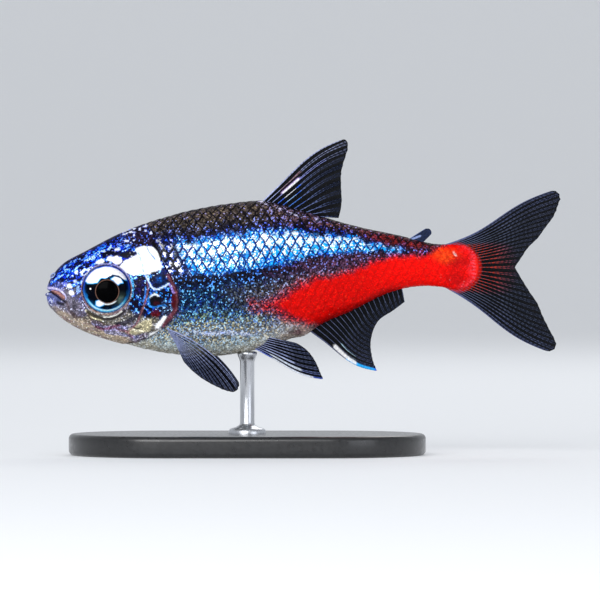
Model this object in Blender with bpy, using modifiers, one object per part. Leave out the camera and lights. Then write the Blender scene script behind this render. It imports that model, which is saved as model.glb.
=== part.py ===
"""A neon tetra at life size, swimming, on a plain display stand.

The fish faces -X with its back towards +Z, so that its left flank looks along -Y. The origin is on the
floor, under the middle of the fish. Its outline is read from profiles of the back, the belly and the half
width, each a smooth curve through a few points. The body is one closed form that thin cuts part into head,
lower jaw, gill covers, trunk and tail stem. Each fin is an open surface of rays that Solidify thickens, more
along the rays than between them, so that the rays stand up as ridges.
"""

import math

import bmesh
import bpy
import numpy as np
from mathutils import Vector

MM = 0.001

# Driving sizes of the fish
SNOUT_X = -17.95 * MM  # front of the lips
FLESH_LENGTH = 30.25 * MM  # lips to the end of the flesh in the tail fin
SWIM_HEIGHT = 11.6 * MM  # the swim axis, a level line through the eye, above the floor
GAP = 0.3 * MM  # kept between neighbouring pieces

# Profiles: distance behind the lips, height above the swim axis or half width, in millimetres
BACK = (
    (0.0, -0.3),
    (0.1, 0.35),
    (0.5, 1.08),
    (1.1, 1.75),
    (2.7, 2.66),
    (5.8, 4.2),
    (9.0, 5.28),
    (13.0, 6.05),
    (15.1, 6.22),
    (18.1, 5.46),
    (21.2, 4.55),
    (24.7, 3.78),
    (27.0, 3.22),
    (28.4, 3.16),
    (29.4, 3.06),
    (29.95, 2.6),
    (30.25, 1.54),
)
BELLY = (
    (0.0, -0.3),
    (0.1, -1.0),
    (0.5, -1.52),
    (1.1, -2.07),
    (2.7, -2.98),
    (5.8, -3.95),
    (9.0, -4.57),
    (11.2, -4.72),
    (13.5, -4.48),
    (15.7, -3.98),
    (18.2, -3.0),
    (21.2, -1.6),
    (24.4, -0.12),
    (26.1, 0.2),
    (27.5, 0.16),
    (28.6, -0.04),
    (29.4, 0.08),
    (29.95, 0.52),
    (30.25, 1.54),
)
HALF_WIDTH = (
    (0.0, 0.0),
    (0.25, 0.55),
    (1.0, 1.0),
    (2.7, 1.55),
    (4.3, 1.88),
    (7.0, 2.27),
    (10.5, 2.46),
    (14.0, 2.34),
    (18.0, 1.86),
    (22.0, 1.32),
    (26.0, 0.84),
    (28.6, 0.58),
    (29.8, 0.42),
    (30.25, 0.0),
)
WIDEST_SHARE = 0.48  # height of the widest level, as a share of the depth
BACK_ROUNDNESS = 1.9  # superellipse power above the widest level: under 2 is keeled
BELLY_ROUNDNESS = 2.1

# Facets of the body
BODY_RINGS = 64
BODY_SIDES = 32

# Head
EYE_X, EYE_Z = -13.7 * MM, 0.08 * MM  # height above the swim axis
EYE_RADIUS = 1.68 * MM
EYE_DEPTH = 0.72 * MM  # half thickness of the flattened eyeball
EYE_OUT = 1.28 * MM  # centre of the eyeball, from the middle of the head
PUPIL_RADIUS = 0.8 * MM
PUPIL_RISE = 0.16 * MM
MOUTH_LINE = ((-19.0, 0.15), (-17.7, -0.22), (-17.0, -0.5), (-16.55, -0.78))
JAW_HINGE_LINE = ((-16.2, -1.4), (-15.5, -2.4), (-14.9, -4.2))
LIP_RADIUS = 0.3 * MM
NOSTRIL_X = -17.45 * MM
NOSTRIL_OUT = 0.42 * MM
NOSTRIL_RADIUS = 0.22 * MM
NOSTRIL_RIM = 0.12 * MM
GILL_PLATE = 0.55 * MM  # thickness of a gill cover
GILL_COVER = (
    (-11.2, 1.6),
    (-9.9, 2.3),
    (-9.0, 0.9),
    (-8.7, -0.4),
    (-8.85, -1.45),
    (-9.7, -2.4),
    (-10.9, -2.85),
    (-12.3, -2.75),
    (-11.8, -2.2),
    (-11.2, -1.4),
    (-10.85, -0.3),
    (-10.95, 0.7),
)
GILL_SLIT = (
    (-10.9, 7.0),
    (-10.6, 4.5),
    (-9.72, 2.6),
    (-8.72, 0.9),
    (-8.4, -0.4),
    (-8.56, -1.6),
    (-9.5, -2.75),
    (-10.8, -3.5),
    (-11.9, -5.6),
)

# Trunk and tail
TAIL_CUT_X = 6.9 * MM
CUT_REACH = 4.0 * MM  # half depth of the cutters, past the flanks

# Fins
FIN_THICKNESS = 0.5 * MM
RAY_THICKNESS = 0.72 * MM
FIN_EDGE_THICKNESS = 0.22 * MM
FIN_ROWS = 8
PECTORAL_ROOT = ((-9.45, 128.0), (-8.9, 146.0))  # its ends: x, and turn round the body from the back
PECTORAL_EDGE = ((-4.55, -6.75), (-4.75, -7.1), (-6.0, -6.75), (-7.3, -6.0), (-8.3, -5.05))
PELVIC_ROOT = ((-3.05, 165.0), (-2.45, 150.0))
PELVIC_EDGE = ((1.42, -6.25), (1.3, -6.0), (0.9, -5.1), (0.3, -4.3), (-0.45, -3.8))

# Stand
BASE_LENGTH, BASE_WIDTH, BASE_THICKNESS = 25.0 * MM, 14.0 * MM, 1.5 * MM
BASE_BEVEL = 0.35 * MM
ROD_X = -3.9 * MM
ROD_RADIUS = 0.5 * MM
ROD_FOOT_RADIUS, ROD_FOOT_HEIGHT = 1.3 * MM, 0.6 * MM
ROD_HEAD_RADIUS, ROD_HEAD_HEIGHT = 0.72 * MM, 0.5 * MM
ROD_SIDES = 24

# Colours, roughness and metallic value of each surface
LOOKS = {
    "head": ((0.10, 0.16, 0.42, 1.0), 0.30, 0.4),
    "jaw": ((0.55, 0.52, 0.58, 1.0), 0.40, 0.2),
    "gill_cover": ((0.12, 0.22, 0.55, 1.0), 0.28, 0.5),
    "eye": ((0.20, 0.45, 0.80, 1.0), 0.10, 0.6),
    "trunk": ((0.10, 0.30, 0.75, 1.0), 0.30, 0.4),
    "tail_stem": ((0.80, 0.03, 0.03, 1.0), 0.35, 0.1),
    "fin": ((0.20, 0.22, 0.30, 1.0), 0.35, 0.0),
    "base": ((0.02, 0.02, 0.022, 1.0), 0.35, 0.0),
    "rod": ((0.60, 0.60, 0.62, 1.0), 0.25, 1.0),
}


def smooth_curve(knots, values):
    """A function that runs smoothly through the values at the knots.

    It is a cubic between neighbours, and its slope at a knot is that of the parabola through three knots.
    """
    knots = np.asarray(knots, float)
    values = np.asarray(values, float)
    steps = np.diff(knots)
    shape = (-1,) + (1,) * (values.ndim - 1)
    rises = np.diff(values, axis=0) / steps.reshape(shape)
    before, after = steps[:-1].reshape(shape), steps[1:].reshape(shape)
    slopes = np.empty_like(values)
    slopes[1:-1] = (rises[:-1] * after + rises[1:] * before) / (before + after)
    slopes[0] = 2 * rises[0] - slopes[1] if len(knots) > 2 else rises[0]
    slopes[-1] = 2 * rises[-1] - slopes[-2] if len(knots) > 2 else rises[0]

    def at(where):
        where = min(max(where, knots[0]), knots[-1])
        i = min(int(np.searchsorted(knots, where, side="right")) - 1, len(steps) - 1)
        step = steps[i]
        t = (where - knots[i]) / step
        start = values[i] * (1 + 2 * t) * (1 - t) ** 2 + slopes[i] * step * t * (1 - t) ** 2
        end = values[i + 1] * t * t * (3 - 2 * t) + slopes[i + 1] * step * t * t * (t - 1)
        return start + end

    return at


def curve_through(points):
    """A function of 0 to 1 along a smooth curve through the points, by length of chord."""
    points = np.asarray(points, float)
    lengths = np.linalg.norm(np.diff(points, axis=0), axis=1)
    knots = np.concatenate([[0.0], np.cumsum(lengths)]) / lengths.sum()
    return smooth_curve(knots, points)


def polar_angle(x):
    """The angle from the snout, 0, to the end of the flesh, pi, on the sphere that the body is shaped from."""
    share = min(max((x - SNOUT_X) / FLESH_LENGTH, 0.0), 1.0)
    return math.acos(1 - 2 * share)


def polar_x(angle):
    return SNOUT_X + FLESH_LENGTH * (1 - math.cos(angle)) / 2


def profile(points):
    """A profile as a function of the polar angle, where a round end is a straight line."""
    angles = [polar_angle(SNOUT_X + distance * MM) for distance, _ in points]
    return smooth_curve(angles, [value * MM for _, value in points])


back_at = profile(BACK)
belly_at = profile(BELLY)
half_width_at = profile(HALF_WIDTH)


def back_z(x):
    return SWIM_HEIGHT + float(back_at(polar_angle(x)))


def belly_z(x):
    return SWIM_HEIGHT + float(belly_at(polar_angle(x)))


def signed_power(value, power):
    return math.copysign(abs(value) ** power, value)


def shrunk(size, inset):
    """A size less an inset that never takes more than half of it."""
    return max(size - inset, size / 2)


def body_point(angle, turn, inset=0.0):
    """A point of the skin at a polar angle along the fish and a turn round it, 0 at the back."""
    top, bottom = float(back_at(angle)), float(belly_at(angle))
    widest = bottom + WIDEST_SHARE * (top - bottom)
    above = math.cos(turn) > 0
    power = 2 / (BACK_ROUNDNESS if above else BELLY_ROUNDNESS)
    reach = shrunk(top - widest if above else widest - bottom, inset)
    side = shrunk(float(half_width_at(angle)), inset) * signed_power(math.sin(turn), power)
    height = widest + reach * signed_power(math.cos(turn), power)
    return Vector((polar_x(angle), side, SWIM_HEIGHT + height))


def flank_y(x, z):
    """Half the width of the body at a place seen from the side."""
    top, bottom = back_z(x), belly_z(x)
    widest = bottom + WIDEST_SHARE * (top - bottom)
    above = z > widest
    power = BACK_ROUNDNESS if above else BELLY_ROUNDNESS
    share = (z - widest) / (top - widest if above else bottom - widest)
    return float(half_width_at(polar_angle(x))) * max(1 - min(share, 1.0) ** power, 0.0) ** (1 / power)


def place(x, height):
    """A side-view place in millimetres, its height taken from the swim axis, as metres in the model."""
    return x * MM, SWIM_HEIGHT + height * MM


def clear_scene():
    for obj in list(bpy.data.objects):
        bpy.data.objects.remove(obj, do_unlink=True)


def new_collection(name):
    collection = bpy.data.collections.new(name)
    bpy.context.scene.collection.children.link(collection)
    return collection


def material(name):
    found = bpy.data.materials.get(name)
    if found:
        return found
    colour, roughness, metallic = LOOKS[name]
    made = bpy.data.materials.new(name)
    made.use_nodes = True
    shader = made.node_tree.nodes["Principled BSDF"]
    shader.inputs["Base Color"].default_value = colour
    shader.inputs["Roughness"].default_value = roughness
    shader.inputs["Metallic"].default_value = metallic
    return made


def new_object(name, mesh, collection, look=None):
    obj = bpy.data.objects.new(name, mesh)
    collection.objects.link(obj)
    if look:
        mesh.materials.clear()
        mesh.materials.append(material(look))
        mesh.shade_smooth()
        mesh.set_sharp_from_angle(angle=math.radians(40))
    return obj


def helper(name, mesh):
    """A cutter or a guide: it shapes other objects and isn't part of the model."""
    obj = new_object(name, mesh, cutters)
    obj.hide_render = True
    obj.display_type = "WIRE"
    return obj


def mesh_from(bm, name):
    mesh = bpy.data.meshes.new(name)
    bm.to_mesh(mesh)
    bm.free()
    return mesh


def closed_form(bm, name):
    """The mesh of a closed form, turned so that its faces point out of it."""
    if bm.calc_volume(signed=True) < 0:
        bmesh.ops.reverse_faces(bm, faces=bm.faces)
    return mesh_from(bm, name)


def frozen(obj):
    """The object's evaluated shape as a mesh in world space, with its doubles merged."""
    graph = bpy.context.evaluated_depsgraph_get()
    mesh = bpy.data.meshes.new_from_object(obj.evaluated_get(graph))
    mesh.transform(obj.matrix_world)
    bm = bmesh.new()
    bm.from_mesh(mesh)
    bmesh.ops.remove_doubles(bm, verts=bm.verts, dist=0.001 * MM)
    bm.to_mesh(mesh)
    bm.free()
    return mesh


def combined(name, first, second, operation):
    """A helper made of one helper joined with, cut by or cut to another."""
    modifier = first.modifiers.new(operation.title(), "BOOLEAN")
    modifier.operation = operation
    modifier.object = second
    bpy.context.view_layer.update()
    mesh = frozen(first)
    first.modifiers.clear()
    return helper(name, mesh)


def body_form(name, inset=0.0):
    """The whole body as one closed form: a sphere whose poles are the lips and the end of the flesh."""
    bm = bmesh.new()
    bmesh.ops.create_uvsphere(bm, u_segments=BODY_SIDES, v_segments=BODY_RINGS, radius=1.0)
    for vert in bm.verts:
        angle = math.acos(min(max(vert.co.z, -1.0), 1.0))
        vert.co = body_point(angle, math.atan2(vert.co.y, vert.co.x), inset)
    return helper(name, closed_form(bm, name))


def side_curve(name, points, closed):
    """A flat curve in the side view, extruded through the fish: a prism if it is closed, a ribbon if not."""
    data = bpy.data.curves.new(name, "CURVE")
    data.dimensions = "2D"
    data.fill_mode = "BOTH" if closed else "NONE"
    data.extrude = CUT_REACH
    spline = data.splines.new("POLY")
    spline.points.add(len(points) - 1)
    for point, (x, z) in zip(spline.points, points):
        point.co = (x, z, 0.0, 1.0)
    spline.use_cyclic_u = closed
    obj = bpy.data.objects.new(name, data)
    cutters.objects.link(obj)
    obj.rotation_euler = (math.radians(90), 0.0, 0.0)
    bpy.context.view_layer.update()
    mesh = frozen(obj)
    bpy.data.objects.remove(obj)
    return helper(name, mesh)


def thin_cut(name, landmarks, steps=14):
    """A wall one gap thick that follows a smooth line in the side view."""
    line = curve_through([place(x, height) for x, height in landmarks])
    wall = side_curve(name, [line(i / steps) for i in range(steps + 1)], closed=False)
    solidify = wall.modifiers.new("Solidify", "SOLIDIFY")
    solidify.thickness = GAP
    solidify.offset = 0.0
    bpy.context.view_layer.update()
    mesh = frozen(wall)
    bpy.data.objects.remove(wall)
    return helper(name, mesh)


def gill_outline(grow):
    """The outline of a gill cover, in the side view, grown outwards by a distance."""
    corners = [place(x, height) for x, height in GILL_COVER]
    line = curve_through(corners + corners[:1])
    steps = 28
    points = np.array([line(i / steps) for i in range(steps)])
    along = np.roll(points, -1, axis=0) - np.roll(points, 1, axis=0)
    along /= np.linalg.norm(along, axis=1)[:, None]
    outward = np.stack([-along[:, 1], along[:, 0]], axis=1)
    return points + outward * grow


def gill_cover_cut():
    """The space round and under both gill covers: all that lies in the grown outline, down to one gap
    below the plate, less the plate itself."""
    inner = body_form("gill_plate_underside", GILL_PLATE)
    deeper = body_form("gill_bed", GILL_PLATE + GAP)
    outline = side_curve("gill_outline", gill_outline(0.0), closed=True)
    grown = side_curve("gill_outline_grown", gill_outline(GAP), closed=True)
    plate = combined("gill_plate", outline, inner, "DIFFERENCE")
    space = combined("gill_space", grown, deeper, "DIFFERENCE")
    return combined("gill_cut", space, plate, "DIFFERENCE")


def eye_form(name, side, grow=0.0):
    """A flattened eyeball, or its socket where it is grown by the gap."""
    bm = bmesh.new()
    bmesh.ops.create_uvsphere(bm, u_segments=32, v_segments=16, radius=1.0)
    for vert in bm.verts:
        x, y, z = vert.co
        vert.co = (
            EYE_X + x * (EYE_RADIUS + grow),
            side * EYE_OUT + z * (EYE_DEPTH + grow),
            SWIM_HEIGHT + EYE_Z + y * (EYE_RADIUS + grow),
        )
    return closed_form(bm, name)


def pupil_form(side):
    """The lens that bulges from the middle of the eyeball."""
    bm = bmesh.new()
    bmesh.ops.create_uvsphere(bm, u_segments=24, v_segments=12, radius=1.0)
    for vert in bm.verts:
        x, y, z = vert.co
        vert.co = (
            EYE_X + x * PUPIL_RADIUS,
            side * (EYE_OUT + EYE_DEPTH - PUPIL_RISE) + z * PUPIL_RISE * 2,
            SWIM_HEIGHT + EYE_Z + y * PUPIL_RADIUS,
        )
    bmesh.ops.recalc_face_normals(bm, faces=bm.faces)
    return helper("pupil", closed_form(bm, "pupil"))


def lip_ring():
    """A soft ridge that follows the mouth from one corner round the snout to the other."""
    line = curve_through([place(x, height) for x, height in MOUTH_LINE[1:]])
    half = [line(i / 5) for i in range(6)][::-1]
    sunk = LIP_RADIUS * 0.6
    path = [(x, -max(flank_y(x, z) - sunk, 0.0), z) for x, z in half]
    front = SNOUT_X + sunk
    path.append((front, 0.0, half[-1][1] + 0.08 * MM))
    path += [(x, -y, z) for x, y, z in path[-2::-1]]
    data = bpy.data.curves.new("lips", "CURVE")
    data.dimensions = "3D"
    data.bevel_depth = LIP_RADIUS
    data.bevel_resolution = 1
    data.use_fill_caps = True
    spline = data.splines.new("POLY")
    spline.points.add(len(path) - 1)
    for point, place_at in zip(spline.points, path):
        point.co = (*place_at, 1.0)
        point.radius = 1.0
    obj = bpy.data.objects.new("lips", data)
    cutters.objects.link(obj)
    bpy.context.view_layer.update()
    mesh = frozen(obj)
    bpy.data.objects.remove(obj)
    return helper("lips", mesh)


def nostril(side):
    """The raised rim round a nostril, half sunk in the snout."""
    bpy.ops.mesh.primitive_torus_add(
        major_segments=12,
        minor_segments=6,
        major_radius=NOSTRIL_RADIUS,
        minor_radius=NOSTRIL_RIM,
    )
    ring = bpy.context.object
    z = back_z(NOSTRIL_X) - 0.02 * MM
    tilt = Vector((-0.75, side * 0.55, 0.6)).normalized()
    ring.location = (NOSTRIL_X, side * NOSTRIL_OUT, z - 0.09 * MM)
    ring.rotation_euler = tilt.to_track_quat("Z", "Y").to_euler()
    bpy.context.view_layer.update()
    mesh = frozen(ring)
    bpy.data.objects.remove(ring)
    return helper("nostril", mesh)


def body_nodes():
    """The body parted into its nodes by thin cuts, each named by where its middle lies."""
    form = body_form("body_form")
    for extra in (lip_ring(), nostril(-1), nostril(1)):
        form = combined("body_form", form, extra, "UNION")
    cuts = [
        thin_cut("gill_slit", GILL_SLIT, 24),
        thin_cut("mouth", MOUTH_LINE + JAW_HINGE_LINE, 18),
        thin_cut("tail_cut", ((TAIL_CUT_X / MM, 9.0), (TAIL_CUT_X / MM, -9.0)), 1),
        gill_cover_cut(),
        helper("socket_left", eye_form("socket_left", -1, GAP)),
        helper("socket_right", eye_form("socket_right", 1, GAP)),
    ]
    for cut in cuts:
        form = combined("body_form", form, cut, "DIFFERENCE")
    pieces = loose_parts(form.data)
    for name, mesh in name_pieces(pieces).items():
        look = "gill_cover" if name.startswith("gill") else {"lower_jaw": "jaw"}.get(name, name)
        new_object(name, mesh, fish, look)


def loose_parts(mesh):
    """The separate closed surfaces of a mesh, largest first, each as a mesh of its own."""
    bm = bmesh.new()
    bm.from_mesh(mesh)
    left = set(bm.verts)
    groups = []
    while left:
        group, edge_of_search = set(), [left.pop()]
        while edge_of_search:
            vert = edge_of_search.pop()
            group.add(vert)
            for edge in vert.link_edges:
                other = edge.other_vert(vert)
                if other in left:
                    left.discard(other)
                    edge_of_search.append(other)
        groups.append([vert.index for vert in group])
    bm.free()
    parts = []
    for group in sorted(groups, key=len, reverse=True):
        part = bmesh.new()
        part.from_mesh(mesh)
        part.verts.ensure_lookup_table()
        keep = set(group)
        bmesh.ops.delete(part, geom=[v for v in part.verts if v.index not in keep], context="VERTS")
        parts.append(mesh_from(part, "piece"))
    return parts


def middle(mesh):
    low = Vector(map(min, *(v.co for v in mesh.vertices)))
    high = Vector(map(max, *(v.co for v in mesh.vertices)))
    return (low + high) / 2, high - low


def name_pieces(parts):
    """The parts of the body by name. The cuts leave six; any scrap smaller than those is left out."""
    named = {}
    for mesh in parts:
        centre, size = middle(mesh)
        if centre.x > TAIL_CUT_X:
            name = "tail_stem"
        elif size.x > 10 * MM:
            name = "trunk"
        elif abs(centre.y) > 0.5 * MM:
            name = "gill_cover_left" if centre.y < 0 else "gill_cover_right"
        elif size.x > 4 * MM:
            name = "head"
        else:
            name = "lower_jaw"
        named.setdefault(name, mesh)
    return named


def eyes():
    for name, side in (("eye_left", -1), ("eye_right", 1)):
        ball = helper("ball", eye_form(name, side))
        joined = combined("joined_eye", ball, pupil_form(side), "UNION")
        new_object(name, joined.data, fish, "eye")


def fin(name, root, edge, rays, bow=0.0, sway=0.0, leading=1.0, outward=None, root_share=0.9):
    """A fin whose rays run from a root line to its outer edge.

    root and edge are functions of 0, the leading ray, to 1, the last one, that give a place (x, z). bow and
    sway bend the leading rays to one side and into an S, in metres, and outward gives the place's y. The
    surface has a column of points on each ray and one between each pair, and is thicker on the rays.
    """
    columns = 2 * (rays - 1)
    bm = bmesh.new()
    bmesh.ops.create_grid(bm, x_segments=columns, y_segments=FIN_ROWS, size=0.5)
    weights = bm.verts.layers.deform.verify()
    for vert in bm.verts:
        s, t = vert.co.x + 0.5, vert.co.y + 0.5
        start, end = np.asarray(root(s)), np.asarray(edge(s))
        across = np.array([-(end - start)[1], (end - start)[0]])
        across /= np.linalg.norm(across)
        bend = (1 - s) ** 1.5 * (bow * 4 * t * (1 - t) + sway * math.sin(2 * math.pi * t))
        x, z = start + (end - start) * t + across * bend
        vert.co = (x, outward(s, t, x, z) if outward else 0.0, z)
        on_ray = round(s * columns) % 2 == 0
        full = RAY_THICKNESS * (leading if s < 0.5 / columns else 1.0) if on_ray else FIN_THICKNESS
        fade = max((t - root_share) / (1 - root_share), 0.0) if root_share < 1 else 0.0
        vert[weights][0] = (full + (FIN_EDGE_THICKNESS - full) * fade) / RAY_THICKNESS
    bmesh.ops.triangulate(bm, faces=bm.faces, quad_method="FIXED")
    obj = new_object(name, mesh_from(bm, name), fish, "fin")
    obj.vertex_groups.new(name="thickness")
    solidify = obj.modifiers.new("Solidify", "SOLIDIFY")
    solidify.thickness = RAY_THICKNESS
    solidify.offset = 0.0
    solidify.vertex_group = "thickness"
    solidify.thickness_vertex_group = 0.0
    return obj


def along_profile(height_at, start_x, end_x, lift):
    """The line of the back or the belly between two places, lifted off it by a distance."""
    def at(s):
        x = start_x + (end_x - start_x) * s
        return x, height_at(x) + lift

    return at


def edge_line(points):
    """An outer edge through side-view landmarks in millimetres."""
    return curve_through([place(x, height) for x, height in points])


def flesh_end(height_at, start_angle, end_angle, below):
    """The rounded end of the flesh, from a place on its upper or lower outline to near its tip, one gap off."""
    def outline(angle):
        return np.array([polar_x(angle), SWIM_HEIGHT + float(height_at(angle))])

    def at(s):
        angle = start_angle + (end_angle - start_angle) * s
        ahead = outline(angle + 0.002) - outline(angle - 0.002)
        ahead /= np.linalg.norm(ahead)
        outward = np.array([ahead[1], -ahead[0]]) if below else np.array([-ahead[1], ahead[0]])
        return outline(angle) + outward * GAP

    return at


def median_fins():
    fin(
        "dorsal_fin",
        along_profile(back_z, -2.75 * MM, 0.95 * MM, GAP),
        edge_line(((2.75, 10.5), (3.1, 10.2), (2.85, 8.6), (2.65, 6.9), (2.45, 5.4))),
        rays=11,
        bow=0.32 * MM,
    )
    fin(
        "anal_fin",
        along_profile(belly_z, 0.55 * MM, 6.7 * MM, -GAP),
        edge_line(((5.2, -5.7), (4.85, -4.7), (4.75, -3.8), (5.3, -2.2), (6.3, -1.5), (7.1, -0.9))),
        rays=20,
        bow=-0.34 * MM,
    )
    fin(
        "adipose_fin",
        along_profile(back_z, 7.5 * MM, 8.3 * MM, GAP),
        edge_line(((8.6, 4.25), (8.9, 4.2), (9.0, 3.95), (8.8, 3.7))),
        rays=4,
    )
    start, end = polar_angle(10.1 * MM), math.radians(177.0)
    fin(
        "caudal_fin_upper",
        flesh_end(back_at, start, end, below=False),
        edge_line(((17.4, 6.95), (18.0, 6.65), (17.5, 5.4), (16.6, 4.0), (15.7, 2.7), (14.95, 1.72))),
        rays=10,
        bow=0.1 * MM,
        sway=-0.32 * MM,
    )
    fin(
        "caudal_fin_lower",
        flesh_end(belly_at, start, end, below=True),
        edge_line(((16.9, -4.2), (17.7, -3.9), (17.3, -2.6), (16.6, -1.3), (15.8, -0.2), (14.95, 1.38))),
        rays=9,
        bow=-0.1 * MM,
        sway=0.1 * MM,
    )


def flank_root(start, end):
    """A line along the flank, lifted off it by the gap and half a ray. Each end is its x, in millimetres,
    and its turn round the body, in degrees from the back."""
    def at(s):
        x, turn = (first + (last - first) * s for first, last in zip(start, end))
        angle, turn = polar_angle(x * MM), math.radians(turn)
        along = body_point(angle, turn + 0.01) - body_point(angle, turn - 0.01)
        outward = Vector((0.0, -along.z, along.y)).normalized()
        return body_point(angle, turn) + outward * (GAP + RAY_THICKNESS / 2)

    return at


def paired_fin(name, side, root_ends, edge_points, rays, bow, spread):
    """A fin on one flank. Its root follows the flank one gap off it, and it stands out as it runs back."""
    foot = flank_root(*root_ends)
    edge = edge_line(edge_points)

    def root(s):
        start = foot(s)
        return start.x, start.z

    def outward(s, t, x, z):
        start = foot(s)
        reach = math.hypot(x - start.x, z - start.z)
        return side * (start.y + math.tan(spread * (1.0 - 0.35 * s)) * reach)

    fin(name, root, edge, rays, bow=bow, outward=outward)


def paired_fins():
    for word, side in (("left", -1), ("right", 1)):
        paired_fin(f"pectoral_fin_{word}", side, PECTORAL_ROOT, PECTORAL_EDGE, 11, 0.28 * MM, math.radians(22))
        paired_fin(f"pelvic_fin_{word}", side, PELVIC_ROOT, PELVIC_EDGE, 8, -0.12 * MM, math.radians(12))


def stand():
    """A flat base with round ends, and a rod from it to the belly with a foot and a small head."""
    bm = bmesh.new()
    sides = 24
    straight = (BASE_LENGTH - BASE_WIDTH) / 2
    bmesh.ops.create_cone(
        bm,
        cap_ends=True,
        segments=2 * sides,
        radius1=BASE_WIDTH / 2,
        radius2=BASE_WIDTH / 2,
        depth=BASE_THICKNESS,
    )
    for vert in bm.verts:
        if abs(vert.co.x) > 0.01 * MM:
            vert.co.x += math.copysign(straight, vert.co.x)
    base = new_object("stand_base", mesh_from(bm, "stand_base"), fish, "base")
    base.location = (ROD_X, 0.0, BASE_THICKNESS / 2)
    bevel = base.modifiers.new("Bevel", "BEVEL")
    bevel.width = BASE_BEVEL
    bevel.segments = 2
    bevel.limit_method = "ANGLE"
    top = belly_z(ROD_X) - GAP
    low = BASE_THICKNESS + GAP
    outline = (
        (0.0, top),
        (ROD_HEAD_RADIUS, top),
        (ROD_HEAD_RADIUS, top - 0.2 * MM),
        (ROD_RADIUS, top - ROD_HEAD_HEIGHT),
        (ROD_RADIUS, low + ROD_FOOT_HEIGHT),
        (ROD_FOOT_RADIUS, low + 0.25 * MM),
        (ROD_FOOT_RADIUS, low),
        (0.0, low),
    )
    turned = bmesh.new()
    verts = [turned.verts.new((x, 0.0, z)) for x, z in outline]
    for first, second in zip(verts, verts[1:]):
        turned.edges.new((first, second))
    rod = new_object("stand_rod", mesh_from(turned, "stand_rod"), fish, "rod")
    rod.location = (ROD_X, 0.0, 0.0)
    screw = rod.modifiers.new("Screw", "SCREW")
    screw.steps = screw.render_steps = ROD_SIDES
    screw.use_merge_vertices = True
    screw.merge_threshold = 0.01 * MM


clear_scene()
fish = new_collection("neon_tetra")
cutters = new_collection("cutters")
body_nodes()
eyes()
median_fins()
paired_fins()
stand()
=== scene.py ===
"""The look of a neon tetra on a display stand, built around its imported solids.

The fish faces -X and shows its left flank to the camera, which looks along +Y. All shapes are worked out in
millimetres in the fish's own frame, where z counts from the swim axis, a level line through the eye.
"""

import logging
import math
from collections.abc import Callable
from dataclasses import dataclass
from enum import Enum
from functools import partial

import bpy
import numpy as np
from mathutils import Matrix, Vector


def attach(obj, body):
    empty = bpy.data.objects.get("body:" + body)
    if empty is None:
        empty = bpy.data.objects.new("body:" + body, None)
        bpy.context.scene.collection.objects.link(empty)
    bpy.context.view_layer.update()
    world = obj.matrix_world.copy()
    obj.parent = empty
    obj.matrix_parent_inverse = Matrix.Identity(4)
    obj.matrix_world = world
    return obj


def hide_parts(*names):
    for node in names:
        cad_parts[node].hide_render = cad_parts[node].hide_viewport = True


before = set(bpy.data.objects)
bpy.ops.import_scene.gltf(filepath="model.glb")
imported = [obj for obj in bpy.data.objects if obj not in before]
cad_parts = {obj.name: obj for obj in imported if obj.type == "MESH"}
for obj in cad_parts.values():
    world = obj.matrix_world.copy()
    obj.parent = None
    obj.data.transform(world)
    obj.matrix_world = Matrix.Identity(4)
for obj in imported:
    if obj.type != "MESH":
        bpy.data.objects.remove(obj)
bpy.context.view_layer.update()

LOG = logging.getLogger("neon_tetra")
Array = np.ndarray
Point = tuple[float, float, float]
Points = tuple[tuple[float, float], ...]
Material = bpy.types.Material
Tree = bpy.types.NodeTree
Socket = bpy.types.NodeSocket
Sockets = bpy.types.bpy_prop_collection
MM = 0.001
SWIM_HEIGHT = 11.6  # the swim axis above the floor, mm
BODY = "root"
FACTOR, FIRST, SECOND, MIXED = 0, 6, 7, 2  # the sockets of a Mix node for colours


# Small tools for shapes


class SmoothCurve:
    """A curve through values at knots: a cubic between neighbours, whose slope at a knot is that of the
    parabola through three knots."""

    def __init__(self, knots: Array, values: Array) -> None:
        """Works out the slopes.

        Args:
            knots: rising places of the values.
            values: one number or one point for each knot.
        """
        self.knots = np.asarray(knots, float)
        self.values = np.asarray(values, float)
        shape = (-1,) + (1,) * (self.values.ndim - 1)
        self.steps = np.diff(self.knots)
        rises = np.diff(self.values, axis=0) / self.steps.reshape(shape)
        before, after = self.steps[:-1].reshape(shape), self.steps[1:].reshape(shape)
        self.slopes = np.empty_like(self.values)
        self.slopes[1:-1] = (rises[:-1] * after + rises[1:] * before) / (before + after)
        self.slopes[0] = 2 * rises[0] - self.slopes[1] if len(knots) > 2 else rises[0]
        self.slopes[-1] = 2 * rises[-1] - self.slopes[-2] if len(knots) > 2 else rises[0]

    def __call__(self, where: Array) -> Array:
        """The curve's values.

        Args:
            where: places, held to the range of the knots.

        Returns:
            One value for each place, by Hermite's formula
            v0 (1+2t)(1-t)^2 + h m0 t (1-t)^2 + v1 t^2 (3-2t) + h m1 t^2 (t-1).
        """
        where = np.clip(np.asarray(where, float), self.knots[0], self.knots[-1])
        i = np.clip(np.searchsorted(self.knots, where, side="right") - 1, 0, len(self.steps) - 1)
        extra = (1,) * (self.values.ndim - 1)
        step = self.steps[i].reshape(where.shape + extra)
        t = ((where - self.knots[i]) / self.steps[i]).reshape(where.shape + extra)
        start = self.values[i] * (1 + 2 * t) * (1 - t) ** 2 + self.slopes[i] * step * t * (1 - t) ** 2
        end = self.values[i + 1] * t * t * (3 - 2 * t) + self.slopes[i + 1] * step * t * t * (t - 1)
        return start + end


def chord_curve(points: Points) -> SmoothCurve:
    """A smooth curve through side-view points, by length of chord.

    Args:
        points: the places that it passes.

    Returns:
        A curve of 0 to 1.
    """
    places = np.asarray(points, float)
    lengths = np.linalg.norm(np.diff(places, axis=0), axis=1)
    return SmoothCurve(np.concatenate([[0.0], np.cumsum(lengths)]) / lengths.sum(), places)


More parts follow.
